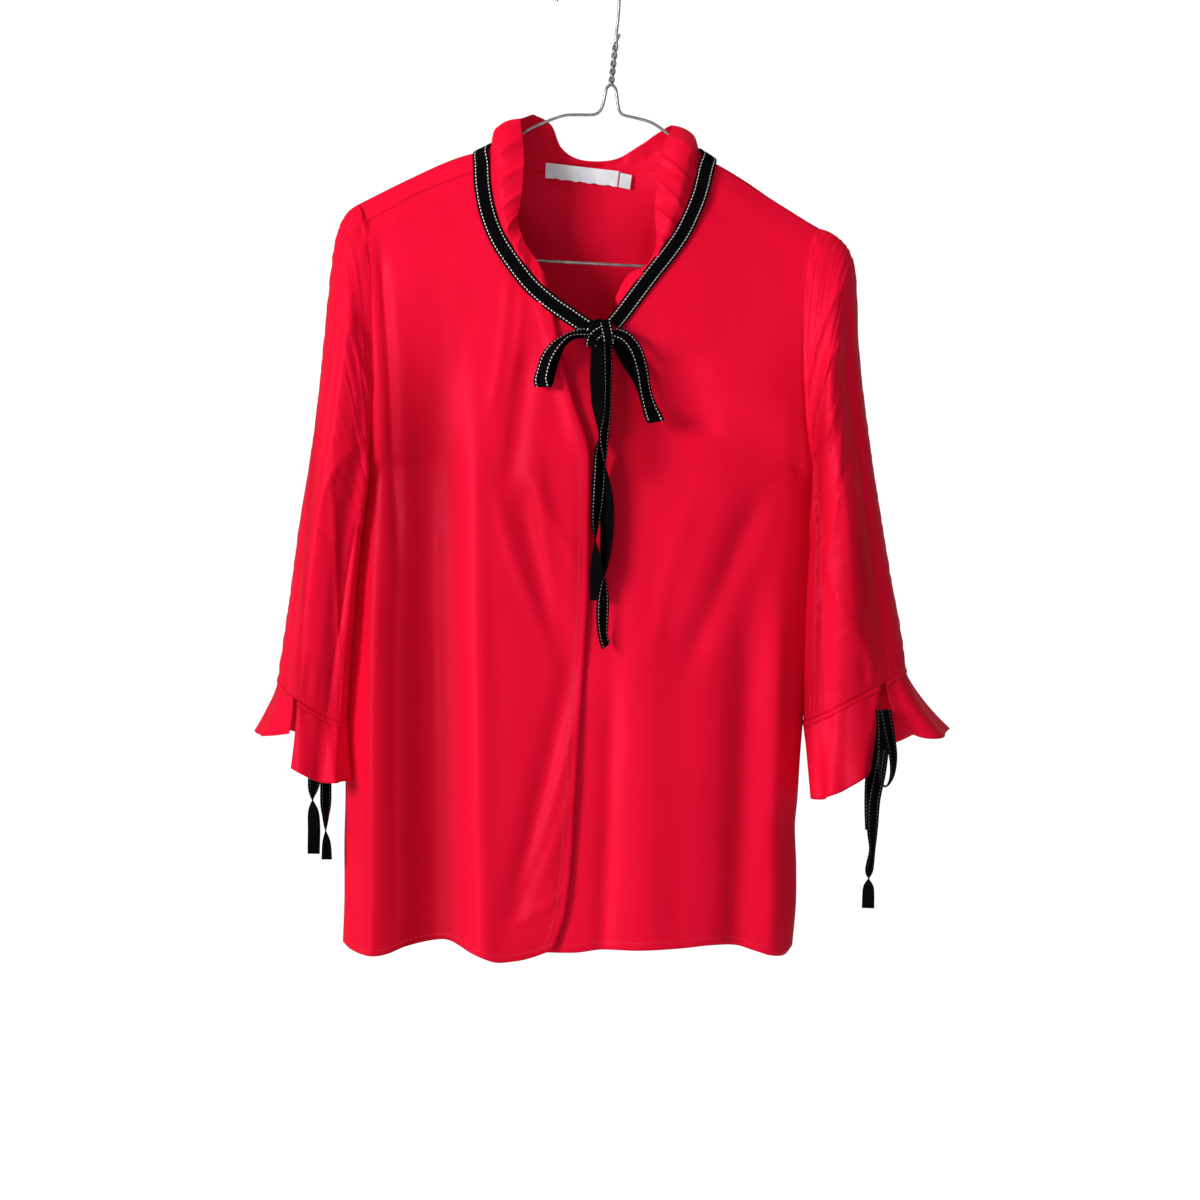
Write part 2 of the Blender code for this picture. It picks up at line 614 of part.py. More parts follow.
def sleeve_point(side, turn, v):
    """Point of a sleeve: turn in radians from the outer edge over the front, v from shoulder to cuff."""
    centre, across, depth, row = sleeve_frame(side, v)
    square = 2 / (2 + (SLEEVE_POWER - 2) * smooth(v / 0.5))
    a = -signed_power(math.cos(turn), square)
    b = -signed_power(math.sin(turn), square)
    swell = 1.0
    for place, width, height in SLEEVE_FOLDS[side]:
        off = (math.degrees(turn) - place + 180) % 360 - 180
        fade = smooth((v - 0.15) / 0.4) * (1 - 0.35 * smooth((v - 0.8) / 0.2))
        swell += height * math.exp(-((off / width) ** 2)) * fade
    point = centre + across * a * (1 + (swell - 1) * SLEEVE_FOLD_ACROSS)
    point.y += depth * b * swell - row[7] * MM * a * 0.5
    point.z += row[8] * GRID * b
    scoop = row[6] * GRID * abs(math.sin(turn)) if v < 0.6 else 0.0
    point.x += scoop
    return point


def sleeve(side, home):
    """Sleeve tube from the armhole to the cuff band."""
    rows = len(SLEEVE[side]) + SLEEVE_MORE_ROWS
    points = []
    for r in range(rows):
        for c in range(SLEEVE_TURNS):
            points.append(sleeve_point(side, 2 * math.pi * c / SLEEVE_TURNS, r / (rows - 1)))
    faces = grid_faces(rows, SLEEVE_TURNS, closed=True)
    if side == "right":
        faces = [tuple(reversed(face)) for face in faces]
    return wall(f"sleeve_{side}", points, faces, CLOTH, "satin", home)


def cuff_seam(side, degrees):
    """Point of the sleeve's lower edge at a place round the section."""
    return sleeve_point(side, math.radians(degrees), 1.0)


def cuff_places(side, count):
    """Places round the cuff from one edge of the slit to the other."""
    first = FRILL[side][0][0]
    last = FRILL[side][-1][0]
    return [first + (last - first) * i / (count - 1) for i in range(count)]


def cuff_band(side, home):
    """Narrow band between sleeve and frill, open at the slit."""
    places = cuff_places(side, BAND_COLS)
    points = []
    for drop in (SEAM_GAP, SEAM_GAP + BAND_WIDTH):
        for place in places:
            points.append(cuff_seam(side, place) + Vector((0, 0, -drop)))
    faces = grid_faces(2, len(places))
    if side == "right":
        faces = [tuple(reversed(face)) for face in faces]
    return wall(f"cuff_band_{side}", points, faces, CLOTH, "satin", home)


def frill_point(side, place, s):
    """Point of a cuff frill: place round the cuff, s from the band to the lower edge."""
    rows = FRILL[side]
    sideways, drop, back = row_at([row[1:] for row in rows], [row[0] for row in rows], place)
    low = cuff_seam(side, place)
    start = low + Vector((0, 0, -(2 * SEAM_GAP + BAND_WIDTH)))
    flare = s * (0.6 + 0.4 * s)
    fall = (drop * GRID - BAND_WIDTH) * s
    point = start + Vector((sideways * GRID * flare, back * MM * flare, -fall))
    centre = sleeve_frame(side, 1.0)[0]
    out = Vector((low.x - centre.x, low.y - centre.y, 0)).normalized()
    span = (place - rows[0][0]) / (rows[-1][0] - rows[0][0])
    wave = math.sin(2 * math.pi * FRILL_WAVES * span + 0.6 * math.sin(5 * span))
    calm = smooth(span / 0.08) * smooth((1 - span) / 0.08)
    return point + out * FRILL_WAVE * wave * s * (0.35 + 0.65 * calm)


def cuff_frill(side, home):
    """Frill below the cuff band."""
    places = cuff_places(side, FRILL_COLS)
    points = []
    for r in range(FRILL_ROWS):
        for place in places:
            points.append(frill_point(side, place, r / (FRILL_ROWS - 1)))
    faces = grid_faces(FRILL_ROWS, FRILL_COLS)
    if side == "right":
        faces = [tuple(reversed(face)) for face in faces]
    return wall(f"cuff_frill_{side}", points, faces, CLOTH, "satin", home)


def facing(lean, out):
    """Unit vector of a face that leans from the front over the top to the back, and outwards."""
    angle = math.radians(lean)
    return Vector((out, -math.cos(angle), math.sin(angle))).normalized()


def collar_point(t, s):
    """Point of the neck frill: t along the neck seam, s from the seam to the free edge."""
    keys = [row[0] for row in COLLAR_TOP]
    key = keys[0] + (keys[-1] - keys[0]) * t
    base_x, base_d, base_y, lean, out, stand = row_at(NECK, list(range(len(NECK))), key)
    top_x, top_d, top_y, puff = row_at([row[1:] for row in COLLAR_TOP], keys, key)
    base = at(base_x, base_d, base_y)
    top = at(top_x, top_d, top_y)
    reach = (top - base).length
    start = base + (top - base) * (1.6 * MM / reach)
    point = start + (top - start) * s
    cover = min(TAPE_COVER, 0.5 * reach)
    free = max(0.0, (reach * s - cover) / (reach - cover))
    point.y = start.y + (top.y - start.y) * free
    face = facing(lean, out)
    flute = math.sin(2 * math.pi * COLLAR_FLUTES * t + 1.4 * math.sin(7 * t))
    swell = puff * MM * math.sin(math.pi * min(1.0, 0.15 + 0.85 * free))
    swell += COLLAR_FLUTE * flute * (1 - 0.5 * free)
    return point + face * swell * smooth(free / 0.35)


def collar(home):
    """Gathered neck frill."""
    points = []
    for r in range(COLLAR_ROWS):
        for c in range(COLLAR_COLS):
            points.append(collar_point(c / (COLLAR_COLS - 1), r / (COLLAR_ROWS - 1)))
    faces = [tuple(reversed(face)) for face in grid_faces(COLLAR_ROWS, COLLAR_COLS)]
    return wall("neck_frill", points, faces, CLOTH, "satin", home)


def ribbon_frame(rows, t):
    """Centre and half width direction of a ribbon at t from 0 to 1."""
    x, d, y, lean, turn, out, stand = even_row(rows, t)
    ahead = even_row(rows, min(1.0, t + 0.01))
    behind = even_row(rows, max(0.0, t - 0.01))
    along = (at(*ahead[:3]) - at(*behind[:3])).normalized()
    face = facing(lean, out)
    face = (face - along * face.dot(along)).normalized()
    across = along.cross(face)
    spin = math.radians(turn)
    wide = across * math.cos(spin) + face * math.sin(spin)
    return at(x, d, y) + face * stand * MM, wide


def ribbon(name, rows, width, steps, home):
    """Flat ribbon along its rows."""
    rows = [(*row, 0, 0) if len(row) == 5 else row for row in rows]
    points = []
    for i in range(steps):
        centre, wide = ribbon_frame(rows, i / (steps - 1))
        points.append(centre - wide * width / 2)
        points.append(centre + wide * width / 2)
    faces = grid_faces(steps, 2)
    return wall(name, points, faces, RIBBON, "ribbon", home)


def neck_tape(home):
    """Tape over the neck seam, from the knot round the neck and back to it."""
    rows = [(x, d, y, lean, 0, out, stand) for x, d, y, lean, out, stand in NECK]
    return ribbon("neck_tape", rows, TAPE_WIDTH, TAPE_STEPS, home)


def knot(home):
    """Knot of the bow, a rounded block."""
    mesh = bpy.data.meshes.new("bow_knot")
    shape = bmesh.new()
    bmesh.ops.create_cube(shape, size=1.0)
    bmesh.ops.subdivide_edges(shape, edges=shape.edges, cuts=1, use_grid_fill=True)
    for vert in shape.verts:
        vert.co = Vector([unit * side * MM for unit, side in zip(vert.co, KNOT_SIDES)])
        vert.co.x += vert.co.z * KNOT_SLANT
    shape.to_mesh(mesh)
    shape.free()
    obj = add("bow_knot", mesh, "ribbon", home)
    obj.location = at(*KNOT_PLACE)
    soft = obj.modifiers.new("Round", "SUBSURF")
    soft.levels = 2
    soft.render_levels = 2
    return obj


def sheet_label(name, corners, y_mm, bow, home):
    """Small flat label hung inside the back neck."""
    points = []
    for s in (0.0, 1.0):
        for i in range(LABEL_COLS):
            t = i / (LABEL_COLS - 1)
            top = Vector(corners[0]).lerp(Vector(corners[1]), t)
            low = Vector(corners[3]).lerp(Vector(corners[2]), t)
            x, d = top.lerp(low, s)
            points.append(at(x, d, y_mm + bow * 4 * t * (1 - t) - LABEL_LEAN * s))
    faces = grid_faces(2, LABEL_COLS)
    return wall(name, points, faces, LABEL_WALL, "label", home)


def hanger(home):
    """Wire hanger of one bent wire: hook, twist, arms and bar."""
    centre = at(HOOK_X, HOOK_D, 0) + Vector((0, 0, -(HOOK_RADIUS - WIRE_RADIUS)))
    path = []
    for i in range(HOOK_STEPS + 1):
        angle = math.radians(HOOK_TURN * (1 - i / HOOK_STEPS))
        path.append(centre + Vector((math.cos(angle), 0, math.sin(angle))) * HOOK_RADIUS)
    path += [at(x, d, 0) for x, d in WIRE_STEM]
    start = []
    end = []
    for i in range(TWIST_STEPS + 1):
        s = i / TWIST_STEPS
        x = TWIST_X[0] + (TWIST_X[1] - TWIST_X[0]) * s
        d = TWIST_TOP + (TWIST_BOTTOM - TWIST_TOP) * s
        angle = 2 * math.pi * TWIST_TURNS * s
        offset = Vector((math.cos(angle), math.sin(angle), 0)) * TWIST_RADIUS
        start.append(at(x, d, 0) + offset)
        end.append(at(x, d, 0) - offset)
    down = [at(x, d, 0) for x, d in WIRE_RIGHT]
    up = [at(x, d, 0) for x, d in WIRE_LEFT]
    bar = [at(x, d, 0) for x, d in WIRE_BAR]
    first, second = (start, end) if start[-1].x < end[-1].x else (end, start)
    free = [at(x, d, 0) for x, d in WIRE_END]
    path += first + down + bar + up + list(reversed(second)) + free
    curve = bpy.data.curves.new("hanger", "CURVE")
    curve.dimensions = "3D"
    curve.bevel_depth = WIRE_RADIUS
    curve.bevel_resolution = 2
    curve.use_fill_caps = True
    spline = curve.splines.new("POLY")
    spline.points.add(len(path) - 1)
    for point, place in zip(spline.points, path):
        point.co = (*place, 1.0)
    return add("hanger", curve, "steel", home)


def main():
    """Build every piece of the blouse and its hanger."""
    for obj in list(bpy.data.objects):
        bpy.data.objects.remove(obj)
    home = bpy.data.collections.new("tie_neck_blouse")
    bpy.context.scene.collection.children.link(home)
    hanger(home)
    back_panel(home)
    collar(home)
    neck_tape(home)
    knot(home)
    for side in ("right", "left"):
        front_panel(side, home)
        sleeve(side, home)
        cuff_band(side, home)
        cuff_frill(side, home)
    for name, (rows, steps) in BOW.items():
        ribbon(name, rows, TAPE_WIDTH, steps, home)
    for name, rows in TIES.items():
        ribbon(name, rows, TIE_WIDTH, 3 * len(rows) - 2, home)
    sheet_label("label", LABEL, LABEL_Y, LABEL_BOW, home)
    sheet_label("size_tab", SIZE_TAB, LABEL_Y - 0.2, 0.0, home)


main()
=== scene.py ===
"""Looks of the tie neck blouse on its wire hanger.

Metres, +Z up, front of the garment towards -Y, the wearer's right towards -X.
The tables give x across and d down in steps of GRID from the hook, and y in millimetres.
"""

import logging
import math
from dataclasses import dataclass, field
from enum import Enum
from typing import Sequence

import bmesh
import bpy
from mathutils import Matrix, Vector, noise


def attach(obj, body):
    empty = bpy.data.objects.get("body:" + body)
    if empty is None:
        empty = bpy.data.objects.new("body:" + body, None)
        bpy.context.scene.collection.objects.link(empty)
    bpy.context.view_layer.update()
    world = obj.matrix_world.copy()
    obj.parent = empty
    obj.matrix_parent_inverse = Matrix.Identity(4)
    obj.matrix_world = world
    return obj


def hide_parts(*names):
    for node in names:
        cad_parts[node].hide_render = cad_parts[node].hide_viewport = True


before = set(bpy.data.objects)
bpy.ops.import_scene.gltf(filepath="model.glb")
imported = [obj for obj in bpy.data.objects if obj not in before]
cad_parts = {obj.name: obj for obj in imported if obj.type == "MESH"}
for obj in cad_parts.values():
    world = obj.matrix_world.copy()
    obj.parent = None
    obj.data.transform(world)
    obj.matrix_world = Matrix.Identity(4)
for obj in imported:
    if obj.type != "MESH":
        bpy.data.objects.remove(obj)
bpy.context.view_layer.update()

LOG = logging.getLogger("blouse")
MM = 0.001
GRID = 0.8 * MM
HOOK_X = 588.0
HOOK_D = -34.0
BODY = "root"
SEAM_GAP = 0.5 * MM

Row = Sequence[float]
Grid = list[list[Vector]]


class Side(Enum):
    """Wearer's side of the garment."""

    RIGHT = "right"
    LEFT = "left"


class Hold(Enum):
    """How a piece of cloth is held."""

    HUNG = "hung"
    GATHERED = "gathered"
    DRAPED = "draped"
    STRETCHED = "stretched"

# Neck seam from the knot up the wearer's right side, round the back, down the left side.
# Columns: x, d, y, then the way the tape faces: lean from the front (0) over the shoulder (90)
# to the back (180), how far it also faces outwards along x, and how far it stands off the seam.
NECK = (
    (589, 330, -37.5, 0, 0, 2.3),
    (570, 317, -36, 0, 0, 2.3),
    (550, 303, -34, 0, 0, 2.3),
    (530, 285, -31, 0, 0, 2.3),
    (512, 262, -27, 5, 0, 2.3),
    (498, 240, -23, 10, 0, 2.3),
    (488, 215, -18, 15, 0, 2.6),
    (483, 190, -13, 20, 0, 3.2),
    (482, 170, -8, 32, -0.05, 3.4),
    (484, 154, -1, 80, -0.4, 4.9),
    (494, 153, 8, 130, -0.6, 3.6),
    (511, 161, 17, 165, -0.35, 2.6),
    (540, 169, 25, 178, -0.1, 2.3),
    (575, 172, 28, 180, 0, 2.3),
    (610, 172, 28, 180, 0, 2.3),
    (645, 169, 25, 178, 0.1, 2.3),
    (675, 163, 18, 165, 0.35, 2.6),
    (696, 158, 9, 130, 0.6, 3.6),
    (706, 159, 0, 80, 0.6, 4.4),
    (705, 173, -8, 32, 0.1, 3.4),
    (700, 195, -14, 20, 0, 3.4),
    (692, 215, -19, 15, 0, 2.7),
    (682, 235, -23, 10, 0, 2.3),
    (668, 255, -27, 5, 0, 2.3),
    (652, 275, -30.5, 0, 0, 2.3),
    (637, 295, -33.5, 0, 0, 2.3),
    (622, 315, -36, 0, 0, 2.3),
    (613, 326, -37.5, 0, 0, 2.3),
)

# Top edge of the standing neck frill, one row for each row of NECK that it uses: row, x, d, y, puff.
COLLAR_TOP = (
    (2, 545, 275, -28, 1),
    (3, 534, 257, -25, 1),
    (4, 524, 241, -21.5, 2),
    (5, 518, 221, -19, 3),
    (6, 521, 204, -21, 5),
    (7, 524, 176, -20, 6),
    (8, 524, 146, -15, 7),
    (9, 522, 120, -7, 8),
    (10, 535, 116, 6, 6),
    (11, 551, 124, 18, 3),
    (12, 562, 147, 25, 0),
    (13, 582, 158.5, 27, 0),
    (14, 614, 158, 27, 0),
    (15, 640, 144, 25, 0),
    (16, 655, 134, 18, 3),
    (17, 668, 127, 7, 6),
    (18, 672, 128, -5, 7),
    (19, 663, 148, -12, 7),
    (20, 659, 172, -16, 6),
    (21, 655, 200, -19, 4),
    (22, 655, 222, -21, 3),
    (23, 656, 244, -23, 2),
    (24, 648, 264, -25, 2),
    (25, 627, 277, -27, 3),
    (26, 615, 300, -31, 2),
)

# Armhole loops: tip and underarm in the plane of the hanger, half depth, and scoop towards the neck.
ARMHOLE = {
    "right": {"tip": (358.0, 205.5), "under": (364.0, 470.0), "depth": 22.0 * MM, "scoop": 13.0},
    "left": {"tip": (820.0, 229.5), "under": (818.0, 475.0), "depth": 22.0 * MM, "scoop": -17.0},
}

# Side seams below the armholes: d, x.
SIDE = {
    "right": ((470, 366), (500, 362.5), (545, 358), (580, 354), (615, 350.5), (665, 347.5), (720, 346),
              (800, 345.7), (840, 344.7), (900, 344.7), (950, 342.8)),
    "left": ((475, 816), (520, 816.5), (550, 815), (590, 812.5), (630, 810), (675, 806.5), (722, 802.5),
             (760, 799.5), (800, 797), (825, 794.6), (870, 796), (905, 795.5), (948, 791.5)),
}

# Hem, d under each x.
HEM = {
    "right": ((342, 940), (352, 949), (371, 955), (387, 953), (407, 945), (433, 939), (450, 939),
              (473, 952), (495, 960.5), (511, 960), (528, 957), (554, 948)),
    "left": ((528, 950), (575, 951), (600, 948), (640, 949), (680, 947), (710, 944), (735, 944),
             (755, 950), (770, 954.5), (784, 954), (792, 945)),
}

# Front panels, one row per section from the shoulder to the hem:
# x, d, y of the neck or closing edge, then d at the armhole or side seam.
FRONT = {
    "right": (
        (478, 171.5, -9.6, 224), (482.5, 190, -13, 246), (488, 215, -18, 274), (498, 240, -23, 303),
        (512, 262, -27, 332), (530, 285, -31, 361), (549, 303, -34.5, 390), (561, 350, -37.5, 420),
        (571, 392, -39.5, 450), (588, 440, -41.5, 482), (590.5, 475, -42, 512), (589.5, 545, -43, 565),
        (588, 605, -44, 615), (582, 690, -45, 690), (577, 780, -46, 780), (572, 860, -46, 860),
        (566, 910, -46, 910), (554, 948, -46, 941),
    ),
    "left": (
        (708, 159.5, -0.8, 229.8), (705, 174, -9, 248), (700, 195, -14, 272), (692, 215, -19, 296),
        (682, 235, -23, 320), (668, 255, -27, 343), (652, 275, -30.5, 366), (637, 295, -33.5, 388),
        (621, 317, -36, 410), (598, 333, -36, 430), (574, 322, -34.5, 447), (551, 330, -33.5, 462),
        (548, 400, -36.5, 484), (556, 460, -38.5, 514), (562, 530, -39.5, 550), (562, 605, -40.5, 610),
        (556, 700, -41.5, 705), (550, 790, -42.5, 790), (544, 860, -42.5, 860), (539, 910, -42.5, 910),
        (530, 949, -42.5, 944),
    ),
}

# Back panel across the top edge: x, d, y from the right armhole tip to the left one.
BACK_TOP = (
    (358, 205.5, 0.7), (367, 200.8, 0.7), (407, 180.8, 0.7), (451, 160.8, 0.7), (478, 153.0, 1.0),
    (489, 154.5, 8.0), (511, 162.5, 17.0), (540, 170.5, 25.0), (575, 173.5, 28.0), (610, 173.5, 28.0),
    (645, 170.5, 25.0), (675, 164.5, 18.0), (700, 159.8, 8.0), (711, 161.5, 1.0), (744, 180.8, 0.7),
    (773, 200.8, 0.7), (805, 220.8, 0.7), (820, 229.5, 0.7),
)
BACK_DEPTH = ((0.0, 20), (0.1, 33), (0.25, 43), (0.5, 48), (0.75, 52), (1.0, 56))
BACK_HEM = ((342, 938), (400, 940), (500, 941), (600, 940), (700, 938), (760, 938), (792, 940))
BACK_SPREAD = 1.25
YOKE_SEAM = ((358, 226), (367, 221), (418, 193.5), (478, 170.5))
# The yoke in front of the crest: share of the way down to the seam, and y in millimetres.
YOKE_ROWS = ((0.12, -1.4), (0.5, -4.8), (0.98, -9.0))

# Sleeve sections: outer x, d, inner x, d, front y, back y, scoop, skew, dip.
SLEEVE = {
    "right": (
        (357.4, 205.2, 363.4, 470, -22, 22, 13, 0, 0),
        (345, 216.6, 362.5, 472, -25, 25, 12, 0, 0),
        (336.2, 237, 361.5, 475, -28, 28, 11, 0, 0),
        (332.2, 262, 360.5, 479, -31, 30, 10, 1, 0),
        (328, 300, 359.5, 485, -33, 32, 8, 2, 0),
        (323, 350, 358, 496, -34, 37, 6, 3, 0),
        (318, 400, 355.5, 516, -35, 41, 4, 5, 0),
        (310, 460, 352.5, 546, -36, 45, 2, 7, 1),
        (300, 520, 349.5, 582, -36, 47, 0, 9, 3),
        (292, 580, 346.5, 622, -36, 47, 0, 11, 6),
        (285, 630, 343.5, 668, -34, 45, 0, 12, 10),
        (278.5, 676, 342.0, 716, -30, 40, 0, 12, 13),
    ),
    "left": (
        (820.6, 229.2, 818.6, 475, -22, 22, -17, 0, 0),
        (833, 234.5, 820, 477, -25, 25, -15, 0, 0),
        (846, 246, 821.5, 480, -28, 28, -13, 0, 0),
        (854, 265, 822.5, 484, -31, 30, -11, 0, 0),
        (857.2, 300, 823.5, 490, -33, 32, -9, 1, 0),
        (858.3, 345, 824, 500, -34, 37, -7, 2, 0),
        (864.3, 400, 823, 520, -35, 41, -5, 3, 0),
        (872.2, 460, 821.5, 551, -36, 45, -2, 4, 0),
        (881.4, 520, 819, 590, -36, 47, 0, 5, 1),
        (891.5, 580, 816, 634, -36, 47, 0, 6, 2),
        (899.5, 625, 812.5, 680, -34, 45, 0, 6, 3),
        (905.5, 668, 808.5, 720, -30, 40, 0, 6, 4),
    ),
}

# Cuff frills from the slit round the inner edge and the back to the slit again:
# place in degrees, then how far the lower edge lies sideways, down and back from the band.
FRILL = {
    "right": (
        (70, -6, 68, -7), (95, -3, 68, -9), (125, 0, 63, -8), (150, 1, 60, -5), (180, 2, 62, 0), (225, 2, 60, 8),
        (270, -3, 58, 12), (320, -14, 57, 11), (350, -22, 58, 7), (375, -21, 55, 2), (400, -14, 47, -2),
        (424, -5, 36, -4),
    ),
    "left": (
        (66, -10, 87, -7), (90, -3, 87, -10), (120, 3, 84, -9), (150, 7, 80, -5), (180, 9, 74, 0), (225, 9, 70, 8),
        (270, 10, 68, 12), (320, 28, 64, 11), (350, 44, 62, 7), (372, 42, 66, 2), (396, 28, 64, -2),
        (416, 14, 46, -4),
    ),
}

# Ribbons: x, d, y, lean, and turn of the face about the ribbon's own length; then steps along it.
BOW = {
    "bow_loop_right": ((
        (587.0, 333.5, -48.4, 0, -58), (577, 334.5, -51, 0, -68), (567, 337.5, -53, 0, -72),
        (555.5, 347, -54, 0, -54), (547.0, 360, -54, 0, -44), (542.4, 375, -53.5, 0, -40),
        (541.4, 382, -52.8, -15, -30), (543.6, 388.3, -50.2, -90, 0), (547.0, 382, -47.4, -165, 30),
        (549.2, 374, -46.6, -180, 40), (553.5, 360, -46.2, -180, 40), (561.5, 346, -45.8, -180, 58),
        (573, 338.5, -45.9, -180, 70), (587.0, 335.5, -46.2, -180, 62),
    ), 26),
    "bow_loop_left": ((
        (613.4, 333.5, -48.5, 0, 52), (626, 339, -52, 0, 46), (636, 352.5, -54.5, 0, 40),
        (641.8, 372, -55.5, 0, 42), (645.2, 393, -55, 0, 42), (650.3, 411, -54.2, -10, 30),
        (655.6, 423.0, -50.5, -90, 10), (650.3, 412, -47, -170, -26), (645.0, 396, -46.6, -180, -40),
        (639, 380, -46.6, -180, -36), (629.5, 364, -46.2, -180, -30), (620.5, 350, -46, -180, -40),
        (614.4, 341, -45.8, -180, -50),
    ), 26),
    "bow_tail_long": ((
        (607.6, 346, -46.2, 0, 60), (608, 365, -48.5, 0, 58), (608, 390, -49.5, 0, 62), (607, 415, -51, 0, 60),
        (603.8, 437, -52.5, 0, 54), (604.5, 455, -51.5, 0, 70), (606, 472, -50, 0, 98), (607.2, 492, -49, 0, 125),
        (607.5, 512, -49, 0, 138), (607, 532, -49, 0, 138), (605.8, 555, -49.5, 0, 122), (604.8, 572, -50.5, 0, 100),
        (603.8, 584, -51, 0, 70), (603, 602, -51.5, 0, 46), (602.6, 622, -51.5, 0, 48), (603.6, 637, -51, 0, 58),
        (606.4, 646, -49.5, 10, 52),
    ), 34),
    "bow_tail_short": ((
        (599, 346, -46.4, 0, 155), (598.6, 362, -50, 0, 162), (598.4, 380, -51, 0, 168), (599.2, 400, -51.5, 0, 158),
        (600.6, 418, -51.5, 0, 130), (600.8, 437, -49.8, 0, 95), (600, 452, -51, 0, 55), (599.5, 475, -51.5, 0, 40),
        (597.8, 500, -51.5, 0, 45), (595.6, 526, -51.5, 0, 65), (595.8, 546, -51, 0, 100), (597.4, 570, -50, 0, 140),
        (598, 592, -49.5, 0, 152), (598.2, 600, -50.5, 20, 150),
    ), 28),
}
TIES = {
    "tie_right_front": (
        (306, 709, -26.6, 0, 0), (311, 740, -26.6, 0, 5), (315, 765, -26.5, 0, 0), (315, 780, -26.3, 0, 10),
        (313.8, 796, -26, 0, 75), (314.5, 812, -26, 0, 150), (315, 830, -26, 0, 180), (314.5, 853, -26, 0, 200),
    ),
    "tie_right_back": (
        (314, 714, -25.3, 0, 0), (320, 745, -24, 0, 10), (326, 775, -20, 0, 30), (326.5, 800, -18, 0, 30),
        (326.5, 815, -17, 0, 60), (326.5, 828, -17, 0, 85), (327.3, 842, -17, 0, 130), (327.5, 859, -17, 0, 145),
    ),
    "tie_left_long": (
        (881, 709, -29, 0, 20), (882, 740, -30, 0, 10), (879, 770, -30.5, 0, 0), (873, 800, -31, 0, 0),
        (871.5, 828, -31, 0, 30), (871.5, 848, -31, 0, 60), (868.5, 868, -31, 0, 50),
        (868, 877, -31, 0, 85), (867.5, 888, -31, 0, 150), (867, 907, -31, 0, 170),
    ),
    "tie_left_short": (
        (878, 711, -25.1, 0, 20), (875, 740, -24.6, 0, 0), (870, 775, -24, 0, -30), (869.5, 800, -24, 0, -20),
        (870.5, 829, -24, 0, 0),
    ),
    "tie_left_loop": (
        (884, 709, -29.8, 0, 20), (888, 732, -35.0, 0, 30), (891.8, 755, -40, 0, 50), (891.4, 772, -40, 0, 66),
        (887.5, 783, -40, 0, 80), (882.5, 785.5, -40, 0, 84), (879.2, 777, -40, 0, 80), (879.5, 762, -40, 0, 66),
        (881, 748, -40, 0, 50),
    ),
}

LABEL = ((545.5, 161.5), (619.5, 170.0), (617.5, 185.7), (545.0, 176.5))
SIZE_TAB = ((620.5, 171.5), (632.0, 174.0), (630.0, 188.5), (618.5, 186.0))

# Hanger arms and bar in the plane y = 0: x, d.
WIRE_RIGHT = (
    (606.8, 88), (605.2, 95), (602.5, 106), (599.0, 112), (594.0, 114.6), (580, 114.8), (566, 115.2),
    (556, 118), (548, 121), (528, 130), (507, 144.5), (488, 158), (451, 168), (407, 187), (375, 203.8),
    (352, 219), (344, 226.5), (340.4, 235.5), (342.8, 244), (352, 250.8),
)
WIRE_LEFT = (
    (838, 276.6), (846.5, 273.5), (849.6, 264), (846, 255), (836, 248), (820, 238.3), (773, 206.5),
    (744, 187.2), (714, 168.5), (690, 151.5), (668, 134), (658, 126.5), (650, 122), (636, 118),
    (623, 114.8), (619.8, 111.5), (618.2, 106), (616.8, 95), (615.2, 88),
)
WIRE_BAR = ((470, 257.1), (600, 264.0), (720, 270.4))
WIRE_STEM = ((618.2, 18), (616.2, 36))
WIRE_END = ((619.6, 34),)

# Folds of the fronts: top x and d, bottom x and d, half width, height in millimetres (+ is a ridge),
# bow sideways, and how sharp its line is from 0 to 1.
FRONT_FOLDS = (
    (430, 290, 438, 1000, 33, -14, 0, 0.0),
    (471, 330, 482, 1000, 15, 6, 0, 0.1),
    (373, 470, 370, 1000, 12, 6, 0, 0.1),
    (376, 205, 396, 520, 8, -4.0, 2, 0.3),
    (512, 470, 566, 660, 13, -5, 0, 0.1),
    (577, 640, 518, 900, 12, -5, 0, 0.1),
    (536, 430, 560, 640, 9, 3, -4, 0.2),
    (532, 330, 512, 470, 11, -4, 0, 0.0),
    (548, 330, 578, 440, 8, 3, 0, 0.1),
    (766, 480, 694, 650, 15, -5, 0, 0.1),
    (750, 560, 735, 1000, 17, -7, 0, 0.0),
    (779, 520, 775, 1000, 12, 4, 0, 0.1),
    (680, 340, 700, 430, 22, -5, 0, 0.0),
    (640, 560, 646, 1000, 26, 4, 0, 0.0),
    (548, 296, 570, 392, 4.5, 2.2, -2, 0.9),
    (537, 288, 553, 352, 4.0, 1.5, -2, 0.8),
    (522, 282, 512, 380, 5.0, 1.4, 3, 0.7),
    (508, 262, 494, 400, 6.0, 1.4, 4, 0.5),
    (490, 470, 548, 640, 7, 2.2, -6, 0.6),
    (520, 450, 575, 560, 7, 1.8, -4, 0.6),
    (577, 700, 524, 880, 6, 2.0, 5, 0.6),
    (580, 760, 545, 870, 5, 1.6, 3, 0.6),
    (574, 885, 512, 925, 6, 2.4, 3, 0.6),
    (345, 760, 366, 805, 5, 2.0, 0, 0.6),
    (440, 430, 446, 960, 7, 1.6, 4, 0.4),
    (402, 470, 396, 900, 7, -1.6, -4, 0.4),
    (700, 480, 655, 640, 9, 1.4, -5, 0.4),
    (800, 700, 794, 930, 6, 2.0, -2, 0.4),
    (612, 640, 602, 960, 10, -4.0, 2, 0.2),
    (812, 330, 800, 470, 8, -2.6, -3, 0.3),
    (806, 460, 745, 500, 5, -1.2, 0, 0.7),
)

